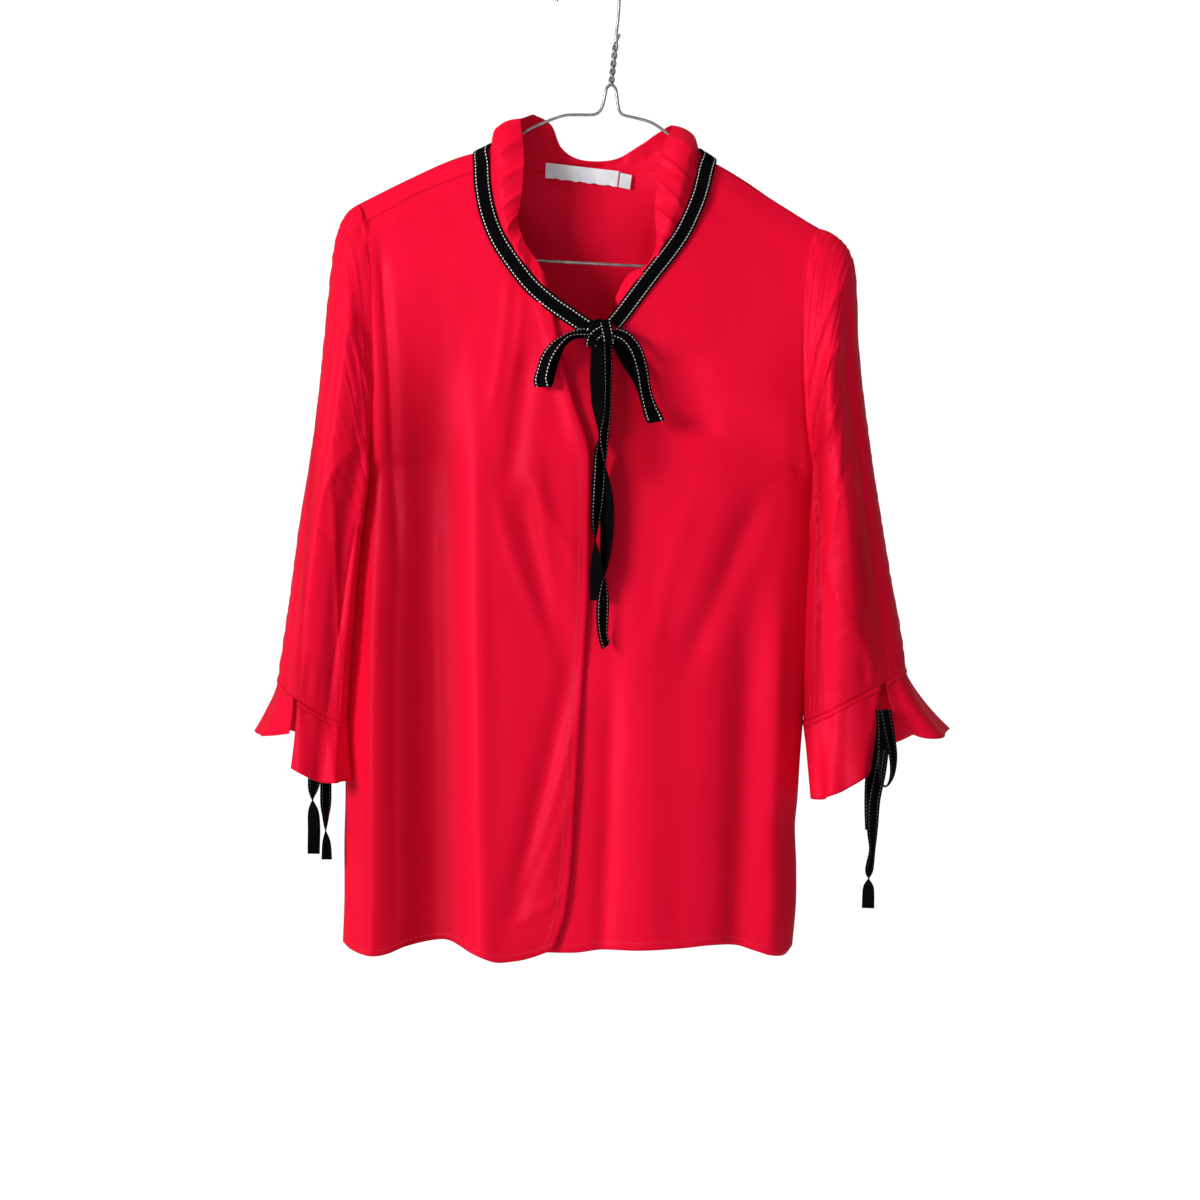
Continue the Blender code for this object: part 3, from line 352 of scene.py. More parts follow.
# Painted shade in the fronts' folds, in the same columns: 1 is the deepest. It stands in for
# shading that these shallow folds do not give, and was matched to the photograph.
FRONT_TONES = (
    (392, 250, 394, 1000, 24, 0.60, 0, 0.0),
    (420, 250, 420, 1000, 28, 0.60, 0, 0.0),
    (441, 250, 442, 1000, 18, 0.42, 0, 0.0),
    (577, 400, 556, 900, 5, 0.42, 8, 0.3),
    (524, 300, 524, 1000, 34, 0.34, 0, 0.0),
    (624, 300, 610, 560, 26, 0.45, 0, 0.0),
    (650, 330, 652, 470, 20, 0.45, 0, 0.0),
    (738, 380, 716, 1000, 30, 0.22, 0, 0.0),
    (812, 300, 806, 1000, 18, 0.5, 0, 0.0),
)

# Painted shade in the sleeves' and cuffs' folds, in the same columns.
SLEEVE_TONES = (
    (319, 380, 299, 690, 3.5, 0.45, 0, 0.5),
    (348, 400, 326, 700, 13, 0.48, 0, 0.0),
    (308, 620, 308, 900, 16, 0.45, 0, 0.0),
    (822, 340, 812, 700, 9, 0.62, 0, 0.0),
    (856, 480, 852, 800, 17, 0.5, 0, 0.0),
    (800, 640, 806, 900, 8, 0.4, 0, 0.0),
)

# Folds of the back, in the same columns.
BACK_FOLDS = (
    (402, 330, 398, 1000, 24, -9, 0, 0.0),
    (452, 300, 446, 1000, 18, 5, 0, 0.2),
    (508, 260, 500, 1000, 20, -7, 0, 0.0),
    (566, 330, 556, 1000, 20, 5, 0, 0.2),
    (628, 300, 640, 1000, 22, -6, 0, 0.0),
    (690, 340, 700, 1000, 18, 5, 0, 0.2),
    (752, 330, 756, 1000, 22, -8, 0, 0.0),
    (430, 380, 424, 1000, 7, 1.6, 3, 0.5),
    (482, 330, 474, 900, 7, 1.4, -4, 0.5),
    (534, 420, 528, 1000, 7, 1.3, 3, 0.5),
    (604, 380, 612, 950, 7, 1.3, -3, 0.5),
    (664, 420, 676, 1000, 7, 1.4, 4, 0.5),
    (722, 360, 730, 1000, 7, 1.4, -4, 0.5),
    (585, 176, 588, 1000, 1.6, -0.7, 0, 0.6),
    (505, 176, 520, 300, 6, 0.9, 2, 0.4),
    (660, 172, 648, 300, 6, 0.9, -2, 0.4),
)

# Folds of the sleeves: place in degrees and v where each starts and ends, half width in degrees,
# depth in millimetres (+ stands out), and how sharp its line is.
SLEEVE_FOLDS = {
    Side.RIGHT: (
        (68, 0.06, 66, 1.0, 17, 4.5, 0.2),
        (44, 0.2, 40, 1.0, 8, -3.4, 0.5),
        (112, 0.12, 112, 1.0, 20, -6.0, 0.0),
        (150, 0.2, 142, 0.9, 12, 2.6, 0.3),
        (215, 0.2, 215, 1.0, 20, -9.0, 0.0),
        (258, 0.2, 258, 1.0, 16, 2.0, 0.2),
        (300, 0.2, 300, 1.0, 20, -9.5, 0.0),
        (128, 0.30, 78, 0.62, 7, 2.2, 0.6),
        (74, 0.55, 122, 0.86, 7, 2.0, 0.6),
        (96, 0.04, 60, 0.36, 8, 2.4, 0.6),
        (122, 0.02, 84, 0.26, 7, 1.8, 0.6),
        (140, 0.55, 112, 0.98, 7, -2.0, 0.5),
    ),
    Side.LEFT: (
        (46, 0.2, 50, 1.0, 16, -7.0, 0.0),
        (84, 0.1, 88, 1.0, 14, 4.2, 0.4),
        (122, 0.2, 122, 1.0, 15, -6.0, 0.0),
        (220, 0.2, 220, 1.0, 20, -9.0, 0.0),
        (262, 0.2, 262, 1.0, 16, 2.0, 0.2),
        (305, 0.2, 305, 1.0, 20, -9.5, 0.0),
        (150, 0.06, 62, 0.38, 9, 3.0, 0.6),
        (152, 0.22, 84, 0.50, 8, 2.4, 0.6),
        (120, 0.02, 52, 0.24, 8, 2.0, 0.6),
        (60, 0.46, 120, 0.74, 8, 2.0, 0.6),
        (130, 0.62, 70, 0.96, 8, 2.0, 0.6),
        (36, 0.50, 48, 0.98, 7, 2.0, 0.6),
    ),
}

# Creases of the neck frill: place along the neck seam, how far it leans by the free edge, half width
# and height in millimetres.
FRILL_CREASES = (
    (0.085, 0.010, 0.006, 1.6), (0.12, 0.018, 0.007, 2.4), (0.16, 0.022, 0.008, 2.8), (0.20, 0.020, 0.006, 2.0),
    (0.245, 0.014, 0.008, 2.6), (0.285, 0.004, 0.007, 1.8), (0.34, -0.006, 0.008, 1.6), (0.43, 0.008, 0.008, 1.2),
    (0.52, -0.008, 0.008, 1.2), (0.61, 0.006, 0.007, 1.4), (0.70, -0.010, 0.008, 2.2), (0.745, -0.018, 0.006, 2.4),
    (0.79, -0.022, 0.008, 3.0), (0.83, -0.020, 0.006, 2.0), (0.87, -0.016, 0.008, 2.6), (0.915, -0.010, 0.006, 1.8),
)

# Wraps of the knot over its core, in the ribbons' columns.
KNOT_WRAPS = (
    ((608.8, 346.5, -47, -70, 0), (608.8, 344.5, -50.4, -45, 0), (608.4, 340, -52.8, -12, 0), (607.2, 334, -53.6, 0, 0),
     (605.9, 328, -53, 14, 0), (605, 324, -50.6, 48, 0), (604.8, 322.6, -47, 90, 0), (604.8, 324, -43, 130, 0)),
    ((591.4, 347.5, -47.0, -70, 0), (591.4, 345, -49.6, -40, 0), (592.8, 340, -51.6, -10, 0), (597, 335.4, -52.6, 0, 0),
     (602, 333, -52.6, 4, 0), (607.5, 332, -51.8, 8, 0), (611.5, 333.5, -49.5, 10, 0)),
    ((591, 338, -44, 20, 0), (591.4, 332.5, -47.6, 30, 0), (594.8, 328, -49.6, 30, 0), (599, 325.6, -50.2, 30, 0),
     (605, 325, -48.6, 40, 0)),
)
KNOT_WRAP_WIDTH = 9.6 * MM
KNOT_PLACE = (600.0, 334.0, -46.3)
KNOT_SIDES = (19.5, 11.6, 20.5)


def at(x: float, d: float, y_mm: float) -> Vector:
    """Point of the tables in metres."""
    return Vector(((x - HOOK_X) * GRID, y_mm * MM, -(d - HOOK_D) * GRID))


def drawn(point: Vector) -> tuple[float, float]:
    """Columns x and d of a point in metres."""
    return point.x / GRID + HOOK_X, HOOK_D - point.z / GRID


def row_at(rows: Sequence[Row], keys: Row, t: float) -> list[float]:
    """Smooth curve through the rows of a table.

    Args:
        rows: The table.
        keys: Place of each row along the curve.
        t: Place that is asked for.

    Returns:
        The columns at t.
    """
    last = len(rows) - 1
    i = 0
    while i < last - 1 and t > keys[i + 1]:
        i += 1
    span = keys[i + 1] - keys[i]
    s = min(1.0, max(0.0, (t - keys[i]) / span))
    before = max(0, i - 1)
    after = min(last, i + 2)
    values = []
    for p0, p1, p2, p3 in zip(rows[before], rows[i], rows[i + 1], rows[after]):
        m1 = (p2 - p0) / (keys[i + 1] - keys[before]) * span
        m2 = (p3 - p1) / (keys[after] - keys[i]) * span
        values.append(
            (2 * s**3 - 3 * s**2 + 1) * p1
            + (s**3 - 2 * s**2 + s) * m1
            + (3 * s**2 - 2 * s**3) * p2
            + (s**3 - s**2) * m2
        )
    return values


def even_row(rows: Sequence[Row], t: float) -> list[float]:
    """Columns at t, from 0 to 1, of a table whose rows stand at even steps."""
    return row_at(rows, [i / (len(rows) - 1) for i in range(len(rows))], t)


def keyed(rows: Sequence[Row], key: float) -> float:
    """Value of a table of pairs at a key."""
    return row_at([(pair[1],) for pair in rows], [pair[0] for pair in rows], key)[0]


def smooth(t: float) -> float:
    """Soft step from 0 to 1."""
    t = min(1.0, max(0.0, t))
    return t * t * (3 - 2 * t)


def profile(t: float, sharp: float) -> float:
    """Cross-section of a fold: 1 on its line, with a soft or a creased top."""
    soft = math.exp(-t * t)
    crease = math.exp(-1.6 * abs(t))
    return soft * (1 - sharp) + crease * sharp


def facing(lean: float, out: float) -> Vector:
    """Unit vector of a face that leans from the front over the top to the back, and outwards."""
    angle = math.radians(lean)
    return Vector((out, -math.cos(angle), math.sin(angle))).normalized()


def rumple(point: Vector, across: float, along: float, seed: float) -> float:
    """Smooth unevenness from -1 to 1.

    Args:
        point: Place on the cloth.
        across: Size of its waves across, in metres.
        along: Size of its waves down the cloth, in metres.
        seed: Which field is read.

    Returns:
        The unevenness there.
    """
    return noise.noise(Vector((point.x / across, seed + point.y / across, point.z / along)))


def fold_height(folds: Sequence[Row], x: float, d: float) -> float:
    """Height of all folds over a place of a panel.

    Args:
        folds: A table of folds.
        x: Column across.
        d: Column down.

    Returns:
        Height in metres.
    """
    total = 0.0
    for x0, d0, x1, d1, half, height, bow, sharp in folds:
        s = (d - d0) / (d1 - d0)
        if s <= 0 or s >= FOLD_PAST:
            continue
        centre = x0 + (x1 - x0) * s + bow * 4 * s * (1 - s)
        fade = smooth(s / FOLD_RISE) * smooth((FOLD_PAST - s) / FOLD_FALL)
        total += height * MM * fade * profile((x - centre) / half, sharp)
    return total


FOLD_RISE = 0.3
FOLD_PAST = 1.2
FOLD_FALL = 0.25
PAINTED_SHADE_LAYER = "tone"


class Graph:
    """Node tree of one material, with short ways to add to it."""

    def __init__(self, name: str) -> None:
        """Start a material with its Principled BSDF.

        Args:
            name: Name of the material.
        """
        self.material = bpy.data.materials.new(name)
        self.material.use_nodes = True
        self.tree = self.material.node_tree
        self.shader = self.tree.nodes["Principled BSDF"]

    def node(self, kind: str, **settings: object) -> bpy.types.Node:
        """Add a node and set its properties."""
        made = self.tree.nodes.new(kind)
        for key, value in settings.items():
            setattr(made, key, value)
        return made

    def feed(self, source: object, target: bpy.types.NodeSocket) -> None:
        """Give a socket a number, a colour or another socket."""
        if isinstance(source, bpy.types.NodeSocket):
            self.tree.links.new(source, target)
        else:
            target.default_value = source

    def math(self, operation: str, first: object, second: object = 0.0) -> bpy.types.NodeSocket:
        """Result of a Math node on two inputs."""
        made = self.node("ShaderNodeMath", operation=operation)
        self.feed(first, made.inputs[0])
        self.feed(second, made.inputs[1])
        return made.outputs[0]

    def mix(self, factor: object, first: object, second: object) -> bpy.types.NodeSocket:
        """Colour between two colours."""
        made = self.node("ShaderNodeMix", data_type="RGBA")
        self.feed(factor, made.inputs[0])
        self.feed(first, made.inputs[6])
        self.feed(second, made.inputs[7])
        return made.outputs[2]

    def place(self, source: str, scale: tuple[float, float, float]) -> bpy.types.NodeSocket:
        """Coordinates of the piece, scaled.

        Args:
            source: Output of Texture Coordinate, Object or UV.
            scale: Scale on each axis.

        Returns:
            The coordinates' socket.
        """
        start = self.node("ShaderNodeTexCoord").outputs[source]
        mapping = self.node("ShaderNodeMapping")
        self.feed(start, mapping.inputs["Vector"])
        mapping.inputs["Scale"].default_value = scale
        return mapping.outputs[0]

    def noise(self, where: bpy.types.NodeSocket, scale: float, detail: float) -> bpy.types.NodeSocket:
        """Value of a Noise texture."""
        made = self.node("ShaderNodeTexNoise")
        self.feed(where, made.inputs["Vector"])
        made.inputs["Scale"].default_value = scale
        made.inputs["Detail"].default_value = detail
        return made.outputs[0]

    def wave(self, where: bpy.types.NodeSocket, scale: float, direction: str) -> bpy.types.NodeSocket:
        """Value of a Wave texture of bands."""
        made = self.node("ShaderNodeTexWave", bands_direction=direction)
        self.feed(where, made.inputs["Vector"])
        made.inputs["Scale"].default_value = scale
        return made.outputs["Fac"]

    def spread(self, value: object, low: float, high: float, to_low: float, to_high: float) -> bpy.types.NodeSocket:
        """Value mapped from one range to another."""
        made = self.node("ShaderNodeMapRange")
        self.feed(value, made.inputs["Value"])
        for name, number in zip(("From Min", "From Max", "To Min", "To Max"), (low, high, to_low, to_high)):
            made.inputs[name].default_value = number
        return made.outputs[0]

    def bump(self, height: object, strength: float, distance: float, under: object = None) -> bpy.types.NodeSocket:
        """Normal of a Bump node.

        Args:
            height: Height socket.
            strength: Share of the bump that shows.
            distance: Height of 1, in metres.
            under: Normal that it is added to.

        Returns:
            The normal's socket.
        """
        made = self.node("ShaderNodeBump")
        made.inputs["Strength"].default_value = strength
        made.inputs["Distance"].default_value = distance
        self.feed(height, made.inputs["Height"])
        if under is not None:
            self.feed(under, made.inputs["Normal"])
        return made.outputs[0]

    def set(self, **numbers: object) -> None:
        """Set the shader's own sockets, named with underscores for spaces."""
        for key, value in numbers.items():
            self.shader.inputs[key.replace("_", " ")].default_value = value


@dataclass(frozen=True)
class Finish:
    """What a material slot of the garment is finished in."""

    name: str
    slot: str
    reverse: tuple["Finish", ...] = ()

    def material(self) -> bpy.types.Material:
        """The finish's material, made once."""
        found = bpy.data.materials.get(self.name)
        return found if found else self.make(Graph(self.name))

    def make(self, graph: Graph) -> bpy.types.Material:
        """Build the material in an empty node tree."""
        return graph.material


@dataclass(frozen=True)
class SatinFinish(Finish):
    """Satin-faced weave: smooth floats across a fine warp, with a soft sheen, and painted shade in its folds."""

    colour: tuple[float, float, float, float] = (0.82, 0.004, 0.032, 1)
    deep: tuple[float, float, float, float] = (0.70, 0.003, 0.020, 1)
    # Deep red of the painted shade in the folds.
    painted_shade_colour: tuple[float, float, float, float] = (0.34, 0.0005, 0.006, 1)
    thread: float = 0.35 * MM
    crush: float = 0.5 * MM

    def make(self, graph: Graph) -> bpy.types.Material:
        """Build the material in an empty node tree."""
        soft = graph.noise(graph.place("Object", (1, 1, 0.45)), 28, 2)
        fine = graph.noise(graph.place("Object", (1, 1, 0.35)), 190, 3)
        weave = graph.place("UV", (1, 1, 1))
        warp = graph.wave(weave, 0.314 / self.thread, "X")
        weft = graph.wave(weave, 0.157 / self.thread, "Y")
        cloth = graph.math("ADD", graph.math("MULTIPLY", warp, 0.7), graph.math("MULTIPLY", weft, 0.3))
        crushed = graph.bump(graph.math("ADD", soft, graph.math("MULTIPLY", fine, 0.35)), 0.35, self.crush)
        normal = graph.bump(cloth, 0.25, 0.03 * MM, crushed)
        graph.feed(normal, graph.shader.inputs["Normal"])
        tint = graph.spread(soft, 0.35, 0.65, 0.0, 0.35)
        # Painted shade: the first coordinate of the cloth's second UV map darkens the colour towards a deep red in the
        # fold bands of the tables, in place of real shading.
        layer = graph.node("ShaderNodeUVMap", uv_map=PAINTED_SHADE_LAYER)
        tone = graph.node("ShaderNodeSeparateXYZ")
        graph.feed(layer.outputs[0], tone.inputs[0])
        dark = graph.spread(tone.outputs[0], 0.0, 1.0, 0.0, 1.0)
        base = graph.mix(tint, self.colour, self.deep)
        graph.feed(graph.mix(dark, base, self.painted_shade_colour), graph.shader.inputs["Base Color"])
        graph.feed(graph.spread(fine, 0.3, 0.7, 0.42, 0.50), graph.shader.inputs["Roughness"])
        graph.set(Sheen_Weight=0.06, Sheen_Roughness=0.4, Sheen_Tint=(1.0, 0.05, 0.15, 1))
        graph.set(Specular_IOR_Level=0.25, Specular_Tint=(1.0, 0.12, 0.30, 1))
        return graph.material


@dataclass(frozen=True)
class RibbonFinish(Finish):
    """Black velvet ribbon, with or without a metallic thread along each edge."""

    width: float = 13.6 * MM
    inset: float = 2.0 * MM
    line: float = 0.36 * MM
    pitch: float = 2.9 * MM
    shine: float = 1.0
    pile: tuple[float, float, float, float] = (0.0016, 0.0016, 0.0022, 1)
    metal: tuple[float, float, float, float] = (1.0, 0.97, 0.90, 1)

    def make(self, graph: Graph) -> bpy.types.Material:
        """Build the material in an empty node tree."""
        place = graph.node("ShaderNodeSeparateXYZ")
        graph.feed(graph.place("UV", (1, 1, 1)), place.inputs[0])
        across, along = place.outputs[0], place.outputs[1]
        from_middle = graph.math("SUBTRACT", graph.math("ABSOLUTE", across), self.width / 2 - self.inset)
        off = graph.math("ABSOLUTE", from_middle)
        line = graph.spread(off, self.line * 0.7, self.line * 1.3, 1.0, 0.0)
        beat = graph.math("SINE", graph.math("MULTIPLY", along, 2 * math.pi / self.pitch))
        bead = graph.spread(beat, -0.2, 0.2, 0.0, 1.0)
        thread = graph.math("MULTIPLY", graph.math("MULTIPLY", line, bead), self.shine)
        pile = graph.noise(graph.place("Object", (1, 1, 1)), 900, 2)
        rib = graph.math("SINE", graph.math("MULTIPLY", along, 2 * math.pi / (0.9 * MM)))
        ground = graph.math("ADD", graph.math("MULTIPLY", pile, 0.6), graph.math("MULTIPLY", rib, 0.15))
        soft = graph.bump(ground, 0.5, 0.12 * MM)
        graph.feed(graph.bump(thread, 0.8, 0.25 * MM, soft), graph.shader.inputs["Normal"])
        graph.feed(graph.mix(thread, self.pile, self.metal), graph.shader.inputs["Base Color"])
        graph.feed(graph.math("MULTIPLY", thread, 0.25), graph.shader.inputs["Metallic"])
        graph.feed(graph.spread(thread, 0.0, 1.0, 0.85, 0.36), graph.shader.inputs["Roughness"])
        graph.set(Sheen_Weight=0.01, Sheen_Roughness=0.4, Sheen_Tint=(0.55, 0.65, 0.9, 1), Specular_IOR_Level=0.03)
        return graph.material


@dataclass(frozen=True)
class WireFinish(Finish):
    """Galvanised steel wire, drawn along its length."""

    colour: tuple[float, float, float, float] = (0.42, 0.42, 0.41, 1)
    dull: tuple[float, float, float, float] = (0.22, 0.22, 0.22, 1)

    def make(self, graph: Graph) -> bpy.types.Material:
        """Build the material in an empty node tree."""
        mottle = graph.noise(graph.place("Object", (1, 1, 1)), 160, 4)
        base = graph.mix(graph.spread(mottle, 0.4, 0.7, 0, 1), self.colour, self.dull)
        graph.feed(base, graph.shader.inputs["Base Color"])
        graph.feed(graph.spread(mottle, 0.3, 0.7, 0.26, 0.42), graph.shader.inputs["Roughness"])
        graph.feed(graph.bump(mottle, 0.2, 0.05 * MM), graph.shader.inputs["Normal"])
        graph.set(Metallic=0.75)
        return graph.material


@dataclass(frozen=True)
class LabelFinish(Finish):
    """Woven off-white tape with a fine rib."""

    colour: tuple[float, float, float, float] = (0.78, 0.79, 0.82, 1)
    shade: tuple[float, float, float, float] = (0.60, 0.62, 0.66, 1)

    def make(self, graph: Graph) -> bpy.types.Material:
        """Build the material in an empty node tree."""
        where = graph.place("UV", (1, 1, 1))
        rib = graph.wave(where, 0.157 / (0.5 * MM), "X")
        weft = graph.wave(where, 0.157 / (0.35 * MM), "Y")
        weave = graph.math("MULTIPLY", rib, weft)
        cloud = graph.noise(graph.place("Object", (1, 1, 1)), 60, 2)
        graph.feed(graph.bump(weave, 0.4, 0.06 * MM), graph.shader.inputs["Normal"])
        base = graph.mix(graph.spread(cloud, 0.35, 0.7, 0, 0.8), self.colour, self.shade)
        graph.feed(base, graph.shader.inputs["Base Color"])
        graph.feed(graph.spread(weave, 0, 1, 0.6, 0.45), graph.shader.inputs["Roughness"])
        graph.set(Sheen_Weight=0.1)
        return graph.material


@dataclass(frozen=True)
class ThreadFinish(Finish):
    """Sewing thread dyed with the cloth."""

    colour: tuple[float, float, float, float] = (0.80, 0.05, 0.09, 1)

    def make(self, graph: Graph) -> bpy.types.Material:
        """Build the material in an empty node tree."""
        twist = graph.noise(graph.place("Object", (1, 1, 1)), 1500, 1)
        deep = tuple(0.6 * channel for channel in self.colour[:3]) + (1,)
        graph.feed(graph.mix(twist, self.colour, deep), graph.shader.inputs["Base Color"])
        graph.feed(graph.spread(twist, 0.3, 0.7, 0.45, 0.6), graph.shader.inputs["Roughness"])
        return graph.material


@dataclass(frozen=True)
class PaperFinish(Finish):
    """Pale seamless paper of the studio."""

    shade: float = 0.94

    def make(self, graph: Graph) -> bpy.types.Material:
        """Build the material in an empty node tree."""
        grain = graph.noise(graph.place("Object", (1, 1, 1)), 40, 2)
        light = (self.shade, self.shade, self.shade, 1)
        dark = (self.shade * 0.98, self.shade * 0.98, self.shade * 0.985, 1)
        graph.feed(graph.mix(grain, light, dark), graph.shader.inputs["Base Color"])
        graph.set(Roughness=0.9)
        return graph.material


SATIN = SatinFinish("satin_weave", "satin")
PILE = RibbonFinish("velvet_reverse", "ribbon", shine=0.0)
TAPE = RibbonFinish("velvet_tape", "ribbon", (PILE,))
TIE = RibbonFinish("velvet_tie", "ribbon", (PILE,), width=10.0 * MM, inset=1.7 * MM, line=0.3 * MM, shine=0.12)
WIRE = WireFinish("galvanised_wire", "steel")
TAG = LabelFinish("woven_tag", "label")
THREAD = ThreadFinish("sewing_thread", "satin")
PAPER = PaperFinish("studio_paper", "satin")


@dataclass(frozen=True)
class Cut:
    """How a piece of cloth was cut and how it is held."""

    width: float
    length: float
    held: Hold
    rests_on: tuple[str, ...]
    area: float | None = None


def announce(piece: bpy.types.Object, finish: Finish, nodes: Sequence[str] = (), cut: Cut | None = None) -> None:
    """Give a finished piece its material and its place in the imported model.

    Args:
        piece: The object.
        finish: What it is finished in.
        nodes: CAD nodes that it stands for.
        cut: Flat size, where it is a sheet of cloth.
    """
    piece.data.materials.clear()
    for face in (finish, *finish.reverse):
        piece.data.materials.append(face.material())
    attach(piece, BODY)
    if nodes:
        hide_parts(*nodes)
    if cut:
        used = sum(face.area for face in piece.data.polygons) / (cut.area or cut.width * cut.length)
        LOG.info("%s covers %.2f of its cut", piece.name, used)
    LOG.info("%s for %s", piece.name, ", ".join(nodes) or "itself")


@dataclass
class Cloth:
    """A sheet through one or more grids of points, welded where they meet."""

    name: str
    grids: list[Grid]
    thickness: float
    wrap: bool = False
    flip: bool = False
    ribbon_half: float | None = None
    # Bands of painted shade, in the columns of the fold tables.
    painted_shades: tuple[Row, ...] = ()

    def build(self) -> bpy.types.Object:
        """Make the object, with its cloth measured in metres in its UV map and its painted shade in a second one."""
        shape = bmesh.new()
        layer = shape.loops.layers.uv.new("cloth")
        for grid in self.grids:
            self.lay(shape, layer, grid)
        if len(self.grids) > 1:
            bmesh.ops.remove_doubles(shape, verts=shape.verts, dist=0.01 * MM)
        mesh = bpy.data.meshes.new(self.name)
        shape.to_mesh(mesh)
        shape.free()
        # Second UV map: the painted shade of the bands at each point, in its first coordinate.
        tone = mesh.uv_layers.new(name=PAINTED_SHADE_LAYER)
        for loop in mesh.loops:
            place = drawn(mesh.vertices[loop.vertex_index].co)
            tone.data[loop.index].uv = (fold_height(self.painted_shades, *place) / MM, 0)
        piece = bpy.data.objects.new(self.name, mesh)
        bpy.context.scene.collection.objects.link(piece)
        wall = piece.modifiers.new("Wall", "SOLIDIFY")
        wall.thickness = self.thickness
        wall.offset = 0.0
        wall.use_even_offset = False
        return piece

    def lay(self, shape: bmesh.types.BMesh, layer: object, grid: Grid) -> None:
        """Add one grid of quads.

        Args:
            shape: Mesh that it is added to.
            layer: UV layer.
            grid: Rows of points.
        """
        rows, cols = len(grid), len(grid[0])
        verts = [[shape.verts.new(p) for p in row] for row in grid]
        across = [self.running(row, self.wrap) for row in grid]
        down = [self.running([row[c] for row in grid], False) for c in range(cols)]
        last = cols if self.wrap else cols - 1
        for r in range(rows - 1):
            for c in range(last):
                n = (c + 1) % cols
                corners = [(r, c, c), (r, n, c + 1), (r + 1, n, c + 1), (r + 1, c, c)]
                if self.flip:
                    corners.reverse()
                face = shape.faces.new([verts[i][j] for i, j, _ in corners])
                face.smooth = True
                for loop, (i, j, k) in zip(face.loops, corners):
                    u = across[i][k]
                    if self.ribbon_half is not None:
                        u = (2 * k / (cols - 1) - 1) * self.ribbon_half
                    loop[layer].uv = (u, down[j][i])

    @staticmethod
    def running(points: Sequence[Vector], wrap: bool) -> list[float]:
        """Length along a line of points up to each of them."""
        total = [0.0]
        line = list(points) + ([points[0]] if wrap else [])
        for first, second in zip(line, line[1:]):
            total.append(total[-1] + (second - first).length)
        return total


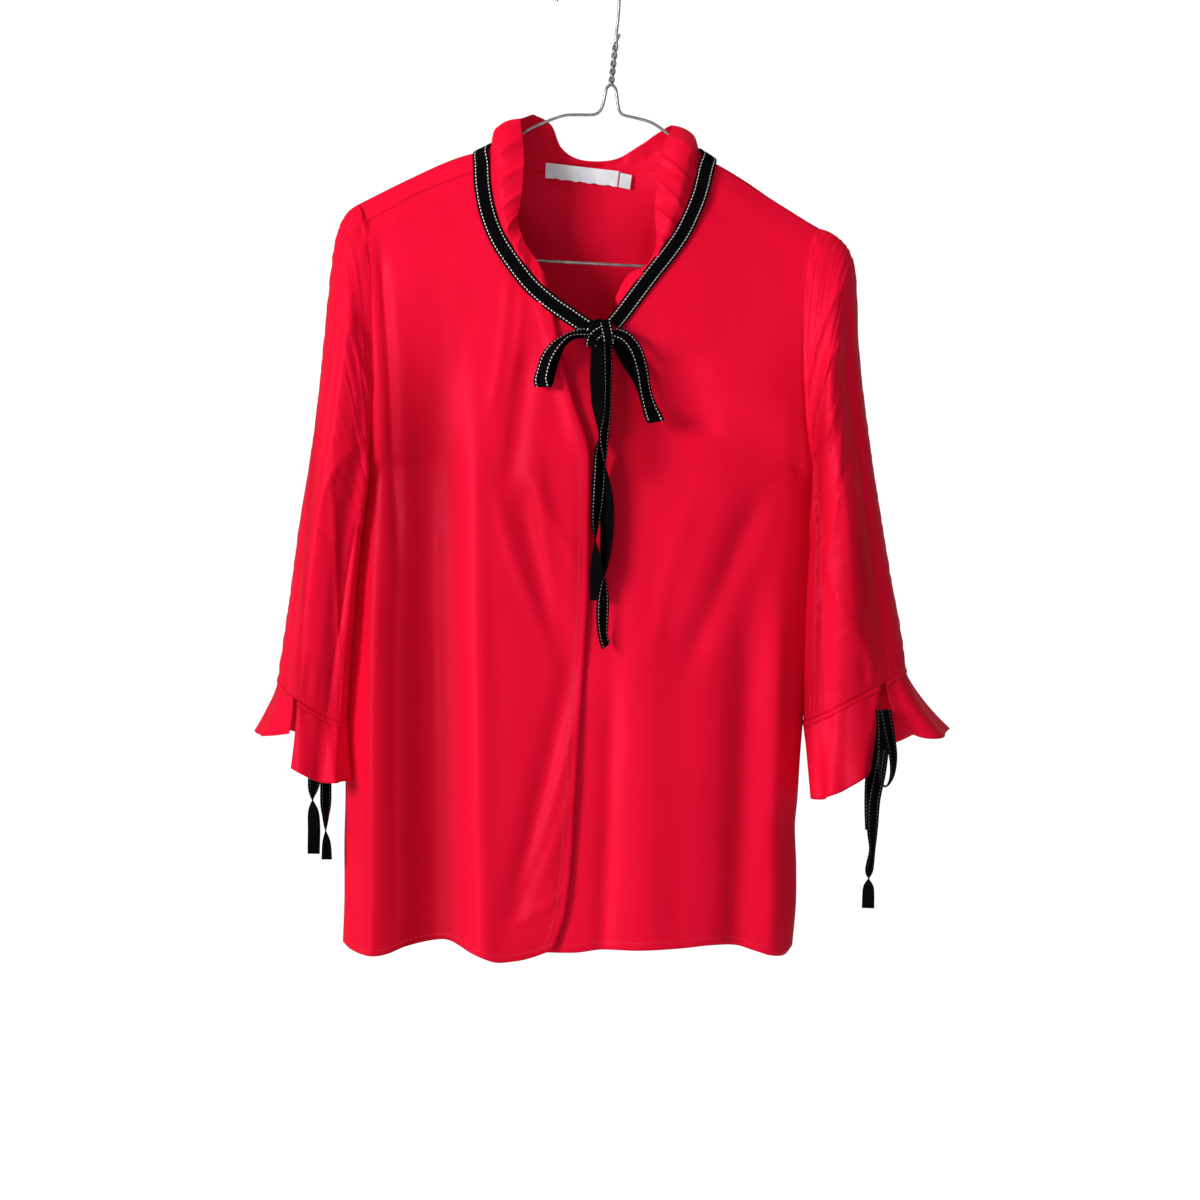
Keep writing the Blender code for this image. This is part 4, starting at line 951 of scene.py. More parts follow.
@dataclass
class Bodice:
    """Two fronts and the back with its yoke."""

    thickness: float = 0.6 * MM
    columns: int = 84
    rows: int = 150
    back_rows: int = 110
    yoke_columns: int = 30
    neck_columns: int = 56
    yoke_rows: int = 14
    edge_power: float = 2.6
    edge_spread: float = 1.5
    hem_share: float = 0.14
    shoulder_share: float = 0.12
    armhole_step: float = -0.9
    underarm_step: float = -1.5
    underarm_from: float = 340.0
    yoke_overhang: float = 1.6
    armhole_share: float = 0.06
    seam_share: float = 0.01
    placket: float = 12.0
    hem: float = 8.0

    @staticmethod
    def armhole_edge(side: Side, d: float) -> tuple[float, float]:
        """Column x and distance from the hanger's plane of the armhole loop.

        Args:
            side: Which armhole.
            d: Column down.

        Returns:
            Column x, and the distance in metres.
        """
        loop = ARMHOLE[side.value]
        top_x, top_d = loop["tip"]
        low_x, low_d = loop["under"]
        s = min(1.0, max(0.0, (d - top_d) / (low_d - top_d)))
        swell = math.sqrt(max(0.0, 1 - (2 * s - 1) ** 2))
        return top_x + (low_x - top_x) * s + loop["scoop"] * swell, loop["depth"] * swell

    def outer_edge(self, side: Side, d: float) -> tuple[float, float]:
        """Column x and distance from the hanger's plane of the body's edge at a depth d."""
        inward = 1.0 if side is Side.RIGHT else -1.0
        table = SIDE[side.value]
        under = ARMHOLE[side.value]["under"][1]
        seam_x = keyed(table, max(d, table[0][0]))
        if d >= under + 12:
            return seam_x, SEAM_GAP
        hole_x, hole_y = self.armhole_edge(side, d)
        blend = smooth((d - under + 4) / 16)
        draw = max(0.0, (d - self.underarm_from) / (under - self.underarm_from))
        step = self.armhole_step + self.underarm_step * draw**2
        x = (hole_x + inward * step) * (1 - blend) + seam_x * blend
        return x, max(hole_y * (1 - blend), SEAM_GAP)

    def front_point(self, side: Side, u: float, v: float) -> Vector:
        """Point of a front.

        Args:
            side: Which front.
            u: From the closing edge (0) to the side (1).
            v: From the shoulder (0) to the hem (1).

        Returns:
            The point in metres.
        """
        table = FRONT[side.value]
        x_in, d_in, y_in, d_out = even_row(table, v)
        x_out, y_out = self.outer_edge(side, d_out)
        x = x_in + (x_out - x_in) * u
        d = d_in + (d_out - d_in) * u
        base = table[-1][1] + (table[-1][3] - table[-1][1]) * u
        d += (keyed(HEM[side.value], x) - base) * smooth((v - 1 + self.hem_share) / self.hem_share)
        if side is Side.RIGHT:
            first = table[0]
            seam = keyed(YOKE_SEAM, x) - 1.5
            d += (seam - first[1] - (first[3] - first[1]) * u) * (1 - smooth(v / self.shoulder_share))
        round_off = math.sqrt(max(0.0, 1 - u**self.edge_power))
        y = -y_out + (y_in * MM + y_out) * round_off
        calm = smooth((1 - u) / 0.12) * smooth(v / 0.15)
        y -= fold_height(FRONT_FOLDS, x, d) * calm
        point = at(x, d, 0)
        point.y = y
        quiet = smooth((1 - u) / 0.08) * smooth(v / 0.06)
        point.y -= quiet * (0.9 * MM * rumple(point, 0.05, 0.13, 3.1) + 0.3 * MM * rumple(point, 0.016, 0.05, 7.7))
        if side is Side.RIGHT:
            meet = 1 - smooth(v / 0.05)
            point.y += (YOKE_ROWS[-1][1] * MM + 0.7 * MM - point.y) * meet * smooth((1 - u) / 0.05)
        if side is Side.RIGHT and d > 345:
            point.y -= 0.7 * MM * smooth((self.placket - (x_in - x)) / 2.5)
        return point

    def front(self, side: Side) -> bpy.types.Object:
        """One front, from the shoulder seam to the hem."""
        grid = []
        for r in range(self.rows):
            us = [1 - (1 - c / (self.columns - 1)) ** self.edge_spread for c in range(self.columns)]
            grid.append([self.front_point(side, u, r / (self.rows - 1)) for u in us])
        name = f"cloth_front_{side.value}"
        return Cloth(name, [grid], self.thickness, flip=side is Side.LEFT, painted_shades=FRONT_TONES).build()

    def back_across(self, c: int) -> float:
        """Column x of point c of the back's top edge."""
        right, left = BACK_TOP[0][0], BACK_TOP[-1][0]
        neck_right, neck_left = YOKE_SEAM[-1][0], BACK_TOP[13][0]
        yoke = self.yoke_columns
        if c < yoke:
            return right + (neck_right - right) * (c / (yoke - 1)) ** BACK_SPREAD
        c -= yoke - 1
        if c < self.neck_columns:
            return neck_right + (neck_left - neck_right) * c / (self.neck_columns - 1)
        c = self.back_columns - yoke - c
        return left + (neck_left - left) * (c / (yoke - 1)) ** BACK_SPREAD

    @property
    def back_columns(self) -> int:
        """Points across the back: shoulder, neck, shoulder."""
        return 2 * self.yoke_columns + self.neck_columns - 2

    def back_point(self, c: int, v: float) -> Vector:
        """Point of the back.

        Args:
            c: Point across, from the right armhole to the left one.
            v: From the top edge (0) to the hem (1).

        Returns:
            The point in metres.
        """
        across = self.back_across(c)
        top_x, top_d, top_y = row_at(BACK_TOP, [row[0] for row in BACK_TOP], across)
        tip_r, tip_l = (ARMHOLE[side.value]["tip"][1] for side in Side)
        x_r, y_r = self.outer_edge(Side.RIGHT, tip_r + (940 - tip_r) * v)
        x_l, y_l = self.outer_edge(Side.LEFT, tip_l + (944 - tip_l) * v)
        if v == 0:
            x_r, x_l = BACK_TOP[0][0] + self.armhole_step, BACK_TOP[-1][0] - self.armhole_step
        u = (top_x - BACK_TOP[0][0]) / (BACK_TOP[-1][0] - BACK_TOP[0][0])
        x = x_r + (x_l - x_r) * u
        d = top_d + (keyed(BACK_HEM, x) - top_d) * v
        edge = y_r + (y_l - y_r) * u
        round_off = math.sqrt(max(0.0, 1 - abs(2 * u - 1) ** self.edge_power))
        body = edge + (keyed(BACK_DEPTH, v) * MM - edge) * round_off
        settle = math.sqrt(smooth(v / self.shoulder_share))
        at_edge = 1 - smooth(min(u, 1 - u) / self.armhole_share)
        settle += (1 - settle) * at_edge * smooth(v / self.seam_share)
        y = top_y * MM * (1 - settle) + body * settle
        calm = smooth(min(u, 1 - u) / 0.08)
        y += fold_height(BACK_FOLDS, x, d) * calm * smooth(v / 0.12)
        point = at(x, d, 0)
        point.y = y
        point.y += calm * smooth(v / 0.05) * (
            0.9 * MM * rumple(point, 0.05, 0.13, 13.1) + 0.3 * MM * rumple(point, 0.016, 0.05, 17.7)
        )
        point.y = max(point.y, top_y * MM * (1 - settle), SEAM_GAP)
        return point

    def back(self) -> bpy.types.Object:
        """Back with the yoke that wraps over the wearer's right shoulder to a forward seam."""
        spread = 1.35
        main = []
        for r in range(self.back_rows):
            v = (r / (self.back_rows - 1)) ** spread
            main.append([self.back_point(c, v) for c in range(self.back_columns)])
        yoke = [main[0][: self.yoke_columns]]
        tip = main[0][0]
        shares = [0.0] + [row[0] for row in YOKE_ROWS]
        depths = [(main[0][0].y / MM,)] + [(row[1],) for row in YOKE_ROWS]
        for r in range(1, self.yoke_rows + 1):
            share = YOKE_ROWS[-1][0] * r / self.yoke_rows
            y_mm = row_at(depths, shares, share)[0]
            row = []
            for c, top in enumerate(main[0][: self.yoke_columns]):
                x = drawn(top)[0]
                down = (at(x, keyed(YOKE_SEAM, x), 0).z - top.z) * share
                low_x = self.armhole_edge(Side.RIGHT, HOOK_D - (tip.z + down) / GRID)[0]
                inward = (low_x + self.armhole_step - self.yoke_overhang - drawn(tip)[0]) * GRID
                inward *= (1 - c / (self.yoke_columns - 1)) ** 2
                y = top.y * (1 - smooth(share / 0.12)) + y_mm * MM * smooth(share / 0.12)
                row.append(Vector((top.x + inward, y, top.z + down)))
            yoke.append(row)
        main = [list(reversed(row)) for row in main]
        return Cloth("cloth_back", [main, yoke], self.thickness).build()

    def dress(self) -> None:
        """Build and announce the pieces."""
        announce(self.back(), SATIN, ["back"], Cut(0.47, 0.67, Hold.HUNG, ("hanger",), 0.26))
        for side in Side:
            nodes = [f"front_{side.value}"]
            announce(self.front(side), SATIN, nodes, Cut(0.25, 0.66, Hold.HUNG, ("hanger",), 0.13))


@dataclass
class Sleeves:
    """Sleeves with their cuff bands and frills."""

    thickness: float = 0.6 * MM
    turns: int = 150
    rows: int = 120
    power: float = 2.5
    fold_across: float = 0.35
    fold_past: float = 1.25
    fold_fade: float = 0.35
    frill_tuck: float = 0.3 * MM
    band_width: float = 4.0 * MM
    band_columns: int = 110
    frill_columns: int = 220
    frill_rows: int = 26
    waves: int = 8
    wave: float = 3.2 * MM
    gathers: int = 26
    gather: float = 0.6 * MM
    near_body: dict[Side, tuple[Row, ...]] = field(
        default_factory=lambda: {
            Side.RIGHT: ((0.0, 1.5), (0.15, 3.0), (0.35, 7.0), (0.6, 9.0), (0.85, 8.0), (1.0, 6.0)),
            Side.LEFT: ((0.0, -1.5), (0.15, -3.0), (0.35, -9.0), (0.6, -13.0), (0.85, -11.0), (1.0, -5.0)),
        }
    )
    frill_cut: dict[Side, tuple[float, float]] = field(
        default_factory=lambda: {Side.RIGHT: (0.26, 0.048), Side.LEFT: (0.30, 0.060)}
    )

    def frame_at(self, side: Side, v: float) -> tuple[Vector, Vector, float, list[float]]:
        """Centre, half width vector, half depth and table row at v down a sleeve."""
        row = even_row(SLEEVE[side.value], v)
        row[2] += keyed(self.near_body[side], v)
        outer = at(row[0], row[1], 0)
        inner = at(row[2], row[3], 0)
        centre = (outer + inner) / 2
        centre.y = (row[4] + row[5]) / 2 * MM
        return centre, (inner - outer) / 2, (row[5] - row[4]) / 2 * MM, row

    def folds(self, side: Side, degrees: float, v: float) -> float:
        """Height of the sleeve's folds at a place, in metres."""
        total = 0.0
        for p0, v0, p1, v1, half, depth, sharp in SLEEVE_FOLDS[side]:
            s = (v - v0) / (v1 - v0)
            if s <= 0 or s >= self.fold_past:
                continue
            off = (degrees - p0 - (p1 - p0) * s + 180) % 360 - 180
            fade = smooth(s / self.fold_fade) * smooth((self.fold_past - s) / self.fold_fade)
            total += depth * MM * profile(off / half, sharp) * fade
        return total

    def point(self, side: Side, degrees: float, v: float) -> Vector:
        """Point of a sleeve.

        Args:
            side: Which sleeve.
            degrees: Round the section, from the outer edge (0) over the front (90).
            v: From the armhole (0) to the cuff (1).

        Returns:
            The point in metres.
        """
        centre, across, depth, row = self.frame_at(side, v)
        turn = math.radians(degrees)
        square = 2 / (2 + (self.power - 2) * smooth(v / 0.5))
        a = -math.copysign(abs(math.cos(turn)) ** square, math.cos(turn))
        b = -math.copysign(abs(math.sin(turn)) ** square, math.sin(turn))
        point = centre + across * a
        point.y += depth * b - row[7] * MM * a * 0.5
        point.z += row[8] * GRID * b
        if v < 0.6:
            point.x += row[6] * GRID * abs(math.sin(turn))
        height = self.folds(side, degrees, v) * (1 - 0.35 * smooth((v - 0.8) / 0.2))
        crowd = smooth((v - 0.88) / 0.08) * (1 - smooth((v - 0.97) / 0.03))
        beat = math.sin(math.radians(degrees) * self.gathers + 1.7 * math.sin(3 * turn))
        height += self.gather * crowd * beat * (0.5 + 0.5 * math.sin(5 * turn + 1))
        head = smooth((0.10 - v) / 0.08) * smooth(v / 0.02) * smooth((math.cos(turn) - 0.2) / 0.5)
        height += 0.8 * MM * head * math.sin(16 * turn + 1.1)
        calm = smooth(v / 0.05)
        broad = 0.7 * MM * rumple(point, 0.03, 0.07, 23.0 + row[0])
        height += calm * (broad + 0.25 * MM * rumple(point, 0.011, 0.03, 5.0))
        out = Vector(((point.x - centre.x) * self.fold_across, point.y - centre.y, 0)).normalized()
        return point + out * height

    def sleeve(self, side: Side) -> bpy.types.Object:
        """Sleeve from the armhole to the band."""
        grid = []
        for r in range(self.rows):
            v = r / (self.rows - 1)
            grid.append([self.point(side, 360 * c / self.turns, v) for c in range(self.turns)])
        name = f"cloth_sleeve_{side.value}"
        return Cloth(name, [grid], self.thickness, wrap=True, flip=side is Side.RIGHT, painted_shades=SLEEVE_TONES).build()

    def places(self, side: Side, count: int) -> list[float]:
        """Places round the cuff from one edge of the slit to the other."""
        table = FRILL[side.value]
        first, last = table[0][0], table[-1][0]
        return [first + (last - first) * i / (count - 1) for i in range(count)]

    def band(self, side: Side) -> bpy.types.Object:
        """Narrow band between sleeve and frill, rounded like a piping."""
        grid = []
        centre = self.frame_at(side, 1.0)[0]
        steps = 6
        for i in range(steps + 1):
            row = []
            for place in self.places(side, self.band_columns):
                low = self.point(side, place, 1.0)
                out = Vector((low.x - centre.x, low.y - centre.y, 0)).normalized()
                swell = 0.9 * MM * math.sin(math.pi * i / steps)
                row.append(low + out * swell - Vector((0, 0, 0.2 * MM + self.band_width * i / steps)))
            grid.append(row)
        name = f"cloth_band_{side.value}"
        return Cloth(name, [grid], self.thickness, flip=side is Side.RIGHT, painted_shades=SLEEVE_TONES).build()

    def frill_point(self, side: Side, place: float, s: float) -> Vector:
        """Point of a cuff frill.

        Args:
            side: Which cuff.
            place: Degrees round the cuff.
            s: From the band (0) to the lower edge (1).

        Returns:
            The point in metres.
        """
        table = FRILL[side.value]
        sideways, drop, back = row_at([row[1:] for row in table], [row[0] for row in table], place)
        low = self.point(side, place, 1.0)
        start = low - Vector((0, 0, self.band_width - self.frill_tuck))
        flare = s * (0.6 + 0.4 * s)
        fall = (drop * GRID - self.band_width) * s
        point = start + Vector((sideways * GRID * flare, back * MM * flare, -fall))
        centre = self.frame_at(side, 1.0)[0]
        out = Vector((low.x - centre.x, low.y - centre.y, 0)).normalized()
        span = (place - table[0][0]) / (table[-1][0] - table[0][0])
        wave = math.sin(2 * math.pi * self.waves * span + 0.6 * math.sin(5 * span))
        calm = smooth(span / 0.08) * smooth((1 - span) / 0.08)
        ripple = self.wave * wave * s * (0.35 + 0.65 * calm)
        pucker = 0.45 * MM * math.sin(2 * math.pi * 17 * span + 2 * math.sin(9 * span)) * (1 - s) ** 2
        return point + out * (ripple + pucker + 0.5 * MM * rumple(point, 0.02, 0.03, 31.0))

    def frill(self, side: Side) -> bpy.types.Object:
        """Frill below the band."""
        grid = []
        for r in range(self.frill_rows):
            s = r / (self.frill_rows - 1)
            grid.append([self.frill_point(side, place, s) for place in self.places(side, self.frill_columns)])
        name = f"cloth_frill_{side.value}"
        return Cloth(name, [grid], self.thickness, flip=side is Side.RIGHT, painted_shades=SLEEVE_TONES).build()

    def dress(self) -> None:
        """Build and announce the pieces."""
        for side in Side:
            name = side.value
            cloth = f"cloth_sleeve_{name}"
            announce(self.sleeve(side), SATIN, [f"sleeve_{name}"], Cut(0.20, 0.41, Hold.HUNG, ("cloth_back",), 0.07))
            announce(self.band(side), SATIN, [f"cuff_band_{name}"], Cut(0.19, 0.01, Hold.STRETCHED, (cloth,), 0.0011))
            cut = Cut(*self.frill_cut[side], Hold.GATHERED, (cloth,))
            announce(self.frill(side), SATIN, [f"cuff_frill_{name}"], cut)


@dataclass
class NeckFrill:
    """Gathered frill that stands inside the tape, all round the neck."""

    thickness: float = 0.5 * MM
    columns: int = 420
    rows: int = 34
    flutes: int = 15
    flute: float = 1.6 * MM
    cover: float = 6.5 * MM
    tuck: float = -1.8 * MM

    def point(self, t: float, s: float) -> Vector:
        """Point of the frill.

        Args:
            t: Along the neck seam, from the wearer's right end to the left one.
            s: From the seam (0) to the free edge (1).

        Returns:
            The point in metres.
        """
        keys = [row[0] for row in COLLAR_TOP]
        key = keys[0] + (keys[-1] - keys[0]) * t
        base_x, base_d, base_y, lean, out, _ = row_at(NECK, list(range(len(NECK))), key)
        top_x, top_d, top_y, puff = row_at([row[1:] for row in COLLAR_TOP], keys, key)
        base = at(base_x, base_d, base_y)
        top = at(top_x, top_d, top_y)
        reach = (top - base).length
        start = base + (top - base) * (self.tuck / reach)
        point = start + (top - start) * s
        cover = min(self.cover, 0.5 * reach)
        free = max(0.0, (reach * s - cover) / (reach - cover))
        point.y = start.y + (top.y - start.y) * free
        flute = math.sin(2 * math.pi * self.flutes * t + 1.4 * math.sin(7 * t))
        swell = puff * MM * math.sin(math.pi * min(1.0, 0.15 + 0.85 * free))
        swell += self.flute * flute * (1 - 0.5 * free)
        gather = abs(math.sin(math.pi * 34 * t + 2.2 * math.sin(13 * t))) * (1 - 0.8 * free) ** 2
        swell += 1.3 * MM * gather + 0.9 * MM * rumple(point, 0.012, 0.03, 41.0)
        for place, lean_over, half, height in FRILL_CREASES:
            swell += height * MM * profile((t - place - lean_over * free) / half, 0.8) * smooth(free / 0.25)
        return point + facing(lean, out) * swell * smooth(free / 0.35)

    def dress(self) -> None:
        """Build and announce the frill."""
        grid = []
        for r in range(self.rows):
            s = r / (self.rows - 1)
            grid.append([self.point(c / (self.columns - 1), s) for c in range(self.columns)])
        piece = Cloth("cloth_neck_frill", [grid], self.thickness, flip=True).build()
        announce(piece, SATIN, ["neck_frill"], Cut(0.44, 0.034, Hold.GATHERED, ("tape_neck",)))


@dataclass
class Ribbons:
    """Neck tape, bow and cuff ties."""

    thickness: float = 0.7 * MM
    tape: float = 13.6 * MM
    tie: float = 10.0 * MM
    across: int = 7
    per_row: int = 7
    cup: float = 0.25 * MM

    def frame_at(self, rows: Sequence[Row], t: float) -> tuple[Vector, Vector, Vector]:
        """Centre, half width direction and face direction of a ribbon at t from 0 to 1."""
        x, d, y, lean, turn, out, stand = even_row(rows, t)
        ahead = even_row(rows, min(1.0, t + 0.01))
        behind = even_row(rows, max(0.0, t - 0.01))
        along = (at(*ahead[:3]) - at(*behind[:3])).normalized()
        face = facing(lean, out)
        face = (face - along * face.dot(along)).normalized()
        spin = math.radians(turn)
        wide = along.cross(face) * math.cos(spin) + face * math.sin(spin)
        return at(x, d, y) + face * stand * MM, wide, wide.cross(along)

    def ribbon(self, name: str, rows: Sequence[Row], width: float, nominal: float | None = None) -> bpy.types.Object:
        """Flat ribbon along its rows.

        Args:
            name: Name of the piece.
            rows: Its table, with or without the last two columns.
            width: Width as it lies.
            nominal: Full width, where it is drawn together.

        Returns:
            The object.
        """
        full = [(*row, 0, 0) if len(row) == 5 else tuple(row) for row in rows]
        steps = self.per_row * (len(full) - 1) + 1
        grid = []
        for i in range(steps):
            centre, wide, face = self.frame_at(full, i / (steps - 1))
            line = []
            for k in range(self.across):
                q = 2 * k / (self.across - 1) - 1
                line.append(centre + wide * (q * width / 2) - face * (self.cup * q * q))
            grid.append(line)
        piece = Cloth(name, [grid], self.thickness, ribbon_half=(nominal or width) / 2).build()
        piece.modifiers["Wall"].material_offset = 1
        return piece

    def knot(self) -> None:
        """Core and wraps of the knot."""
        mesh = bpy.data.meshes.new("knot_core")
        shape = bmesh.new()
        bmesh.ops.create_cube(shape, size=1.0)
        bmesh.ops.subdivide_edges(shape, edges=shape.edges, cuts=1, use_grid_fill=True)
        centre = at(*KNOT_PLACE)
        for vert in shape.verts:
            vert.co = Vector([unit * side * MM for unit, side in zip(vert.co, KNOT_SIDES)])
            vert.co.x += vert.co.z * 0.12
            vert.co += centre
        for face in shape.faces:
            face.smooth = True
        shape.to_mesh(mesh)
        shape.free()
        core = bpy.data.objects.new("knot_core", mesh)
        bpy.context.scene.collection.objects.link(core)
        soft = core.modifiers.new("Round", "SUBSURF")
        soft.levels = 3
        soft.render_levels = 3
        announce(core, TAPE, ["bow_knot"])
        for i, rows in enumerate(KNOT_WRAPS):
            wrap = self.ribbon(f"knot_wrap_{i + 1}", rows, KNOT_WRAP_WIDTH, self.tape)
            points = [at(*row[:3]) for row in rows]
            length = Cloth.running(points, False)[-1]
            cut = Cut(self.tape, length, Hold.STRETCHED, ("knot_core",), KNOT_WRAP_WIDTH * length)
            announce(wrap, TAPE, cut=cut)

    def dress(self) -> None:
        """Build and announce the ribbons."""
        rows = [(x, d, y, lean, 0, out, stand) for x, d, y, lean, out, stand in NECK]
        tape = self.ribbon("tape_neck", rows, self.tape)
        announce(tape, TAPE, ["neck_tape"], Cut(self.tape, 0.60, Hold.STRETCHED, ("cloth_neck_frill",)))
        self.knot()
        lengths = {"bow_loop_right": 0.105, "bow_loop_left": 0.17, "bow_tail_long": 0.26, "bow_tail_short": 0.22}
        for name, (table, _) in BOW.items():
            piece = self.ribbon(f"ribbon_{name}", table, self.tape)
            announce(piece, TAPE, [name], Cut(self.tape, lengths[name], Hold.HUNG, ("knot_core",)))
        for name, table in TIES.items():
            length = Cloth.running([at(*row[:3]) for row in table], False)[-1]
            side = "right" if "right" in name else "left"
            piece = self.ribbon(f"ribbon_{name}", table, self.tie)
            announce(piece, TIE, [name], Cut(self.tie, length, Hold.HUNG, (f"cloth_band_{side}",)))


@dataclass
class Tags:
    """Neck label and size tab, bare, sewn on at their ends."""

    thickness: float = 0.5 * MM
    columns: int = 60
    rows: int = 12
    y_mm: float = 23.0
    lean: float = 1.2

    def tag(self, name: str, corners: Sequence[Row], y_mm: float, bow: float, wave: float) -> bpy.types.Object:
        """Small flat tag.

        Args:
            name: Name of the piece.
            corners: Top right-hand, top left-hand, low left-hand and low right-hand corners.
            y_mm: Depth at its ends.
            bow: How far its middle stands back, in millimetres.
            wave: Height of the waves of its lower edge, in steps of GRID.

        Returns:
            The object.
        """
        grid = []
        for r in range(self.rows):
            s = r / (self.rows - 1)
            row = []
            for c in range(self.columns):
                t = c / (self.columns - 1)
                top = Vector(corners[0]).lerp(Vector(corners[1]), t)
                low = Vector(corners[3]).lerp(Vector(corners[2]), t)
                x, d = top.lerp(low, s)
                ripple = math.sin(34 * t) + 0.5 * math.sin(61 * t + 1)
                d += wave * s**4 * ripple
                y = y_mm + bow * 4 * t * (1 - t) - self.lean * s - 0.4 * s * s * ripple * wave
                row.append(at(x, d, y))
            grid.append(row)
        return Cloth(name, [grid], self.thickness, flip=True).build()

    def dress(self) -> None:
        """Build and announce the tags."""
        label = self.tag("tag_neck", LABEL, self.y_mm, 1.0, 0.45)
        announce(label, TAG, ["label"], Cut(0.061, 0.0135, Hold.STRETCHED, ("cloth_back",)))
        tab = self.tag("tag_size", SIZE_TAB, self.y_mm - 0.2, 0.0, 0.0)
        announce(tab, TAG, ["size_tab"], Cut(0.0115, 0.0105, Hold.STRETCHED, ("cloth_back",), 1.1e-4))


@dataclass
class Hanger:
    """Wire hanger of one bent wire: hook, twist, arms and bar."""

    wire: float = 1.2 * MM
    hook: float = 25.2 * MM
    hook_turn: float = 190.0
    hook_steps: int = 48
    twist_top: float = 48.0
    twist_bottom: float = 84.0
    twist_x: tuple[float, float] = (615.2, 611.2)
    twist_turns: float = 2.25
    twist_radius: float = 1.35 * MM
    twist_steps: int = 64
    smooth_steps: int = 5

    def soften(self, points: Sequence[Vector]) -> list[Vector]:
        """Smooth line through points."""
        rows = [tuple(point) for point in points]
        keys = Cloth.running(points, False)
        line = []
        for i in range(len(rows) - 1):
            for k in range(self.smooth_steps):
                line.append(Vector(row_at(rows, keys, keys[i] + (keys[i + 1] - keys[i]) * k / self.smooth_steps)))
        return line + [points[-1]]

    def path(self) -> list[Vector]:
        """Line of the wire from the hook's end to the free end at the twist."""
        centre = at(HOOK_X, HOOK_D, 0) - Vector((0, 0, self.hook - self.wire))
        path = []
        for i in range(self.hook_steps + 1):
            angle = math.radians(self.hook_turn * (1 - i / self.hook_steps))
            path.append(centre + Vector((math.cos(angle), 0, math.sin(angle))) * self.hook)
        start = []
        end = []
        for i in range(self.twist_steps + 1):
            s = i / self.twist_steps
            x = self.twist_x[0] + (self.twist_x[1] - self.twist_x[0]) * s
            d = self.twist_top + (self.twist_bottom - self.twist_top) * s
            angle = 2 * math.pi * self.twist_turns * s
            offset = Vector((math.cos(angle), math.sin(angle), 0)) * self.twist_radius
            start.append(at(x, d, 0) + offset)
            end.append(at(x, d, 0) - offset)
        stem = [path[-1]] + [at(x, d, 0) for x, d in WIRE_STEM] + [start[0]]
        right = [end[-1]] + [at(x, d, 0) for x, d in WIRE_RIGHT]
        bar = [at(x, d, 0) for x, d in WIRE_BAR]
        left = [at(x, d, 0) for x, d in WIRE_LEFT] + [start[-1]]
        return (
            path[:-1] + self.soften(stem)[:-1] + start[:-1]
            + [start[-1]]
            + self.soften([start[-1]] + right[1:] + bar + left[:-1] + [end[-1]])[1:]
            + list(reversed(end[:-1])) + [at(x, d, 0) for x, d in WIRE_END]
        )

    def dress(self) -> None:
        """Build and announce the hanger."""
        curve = bpy.data.curves.new("wire_hanger", "CURVE")
        curve.dimensions = "3D"
        curve.bevel_depth = self.wire
        curve.bevel_resolution = 5
        curve.use_fill_caps = True
        spline = curve.splines.new("POLY")
        path = self.path()
        spline.points.add(len(path) - 1)
        for point, place in zip(spline.points, path):
            point.co = (*place, 1.0)
        spline.use_smooth = True
        piece = bpy.data.objects.new("wire_hanger", curve)
        bpy.context.scene.collection.objects.link(piece)
        announce(piece, WIRE, ["hanger"])


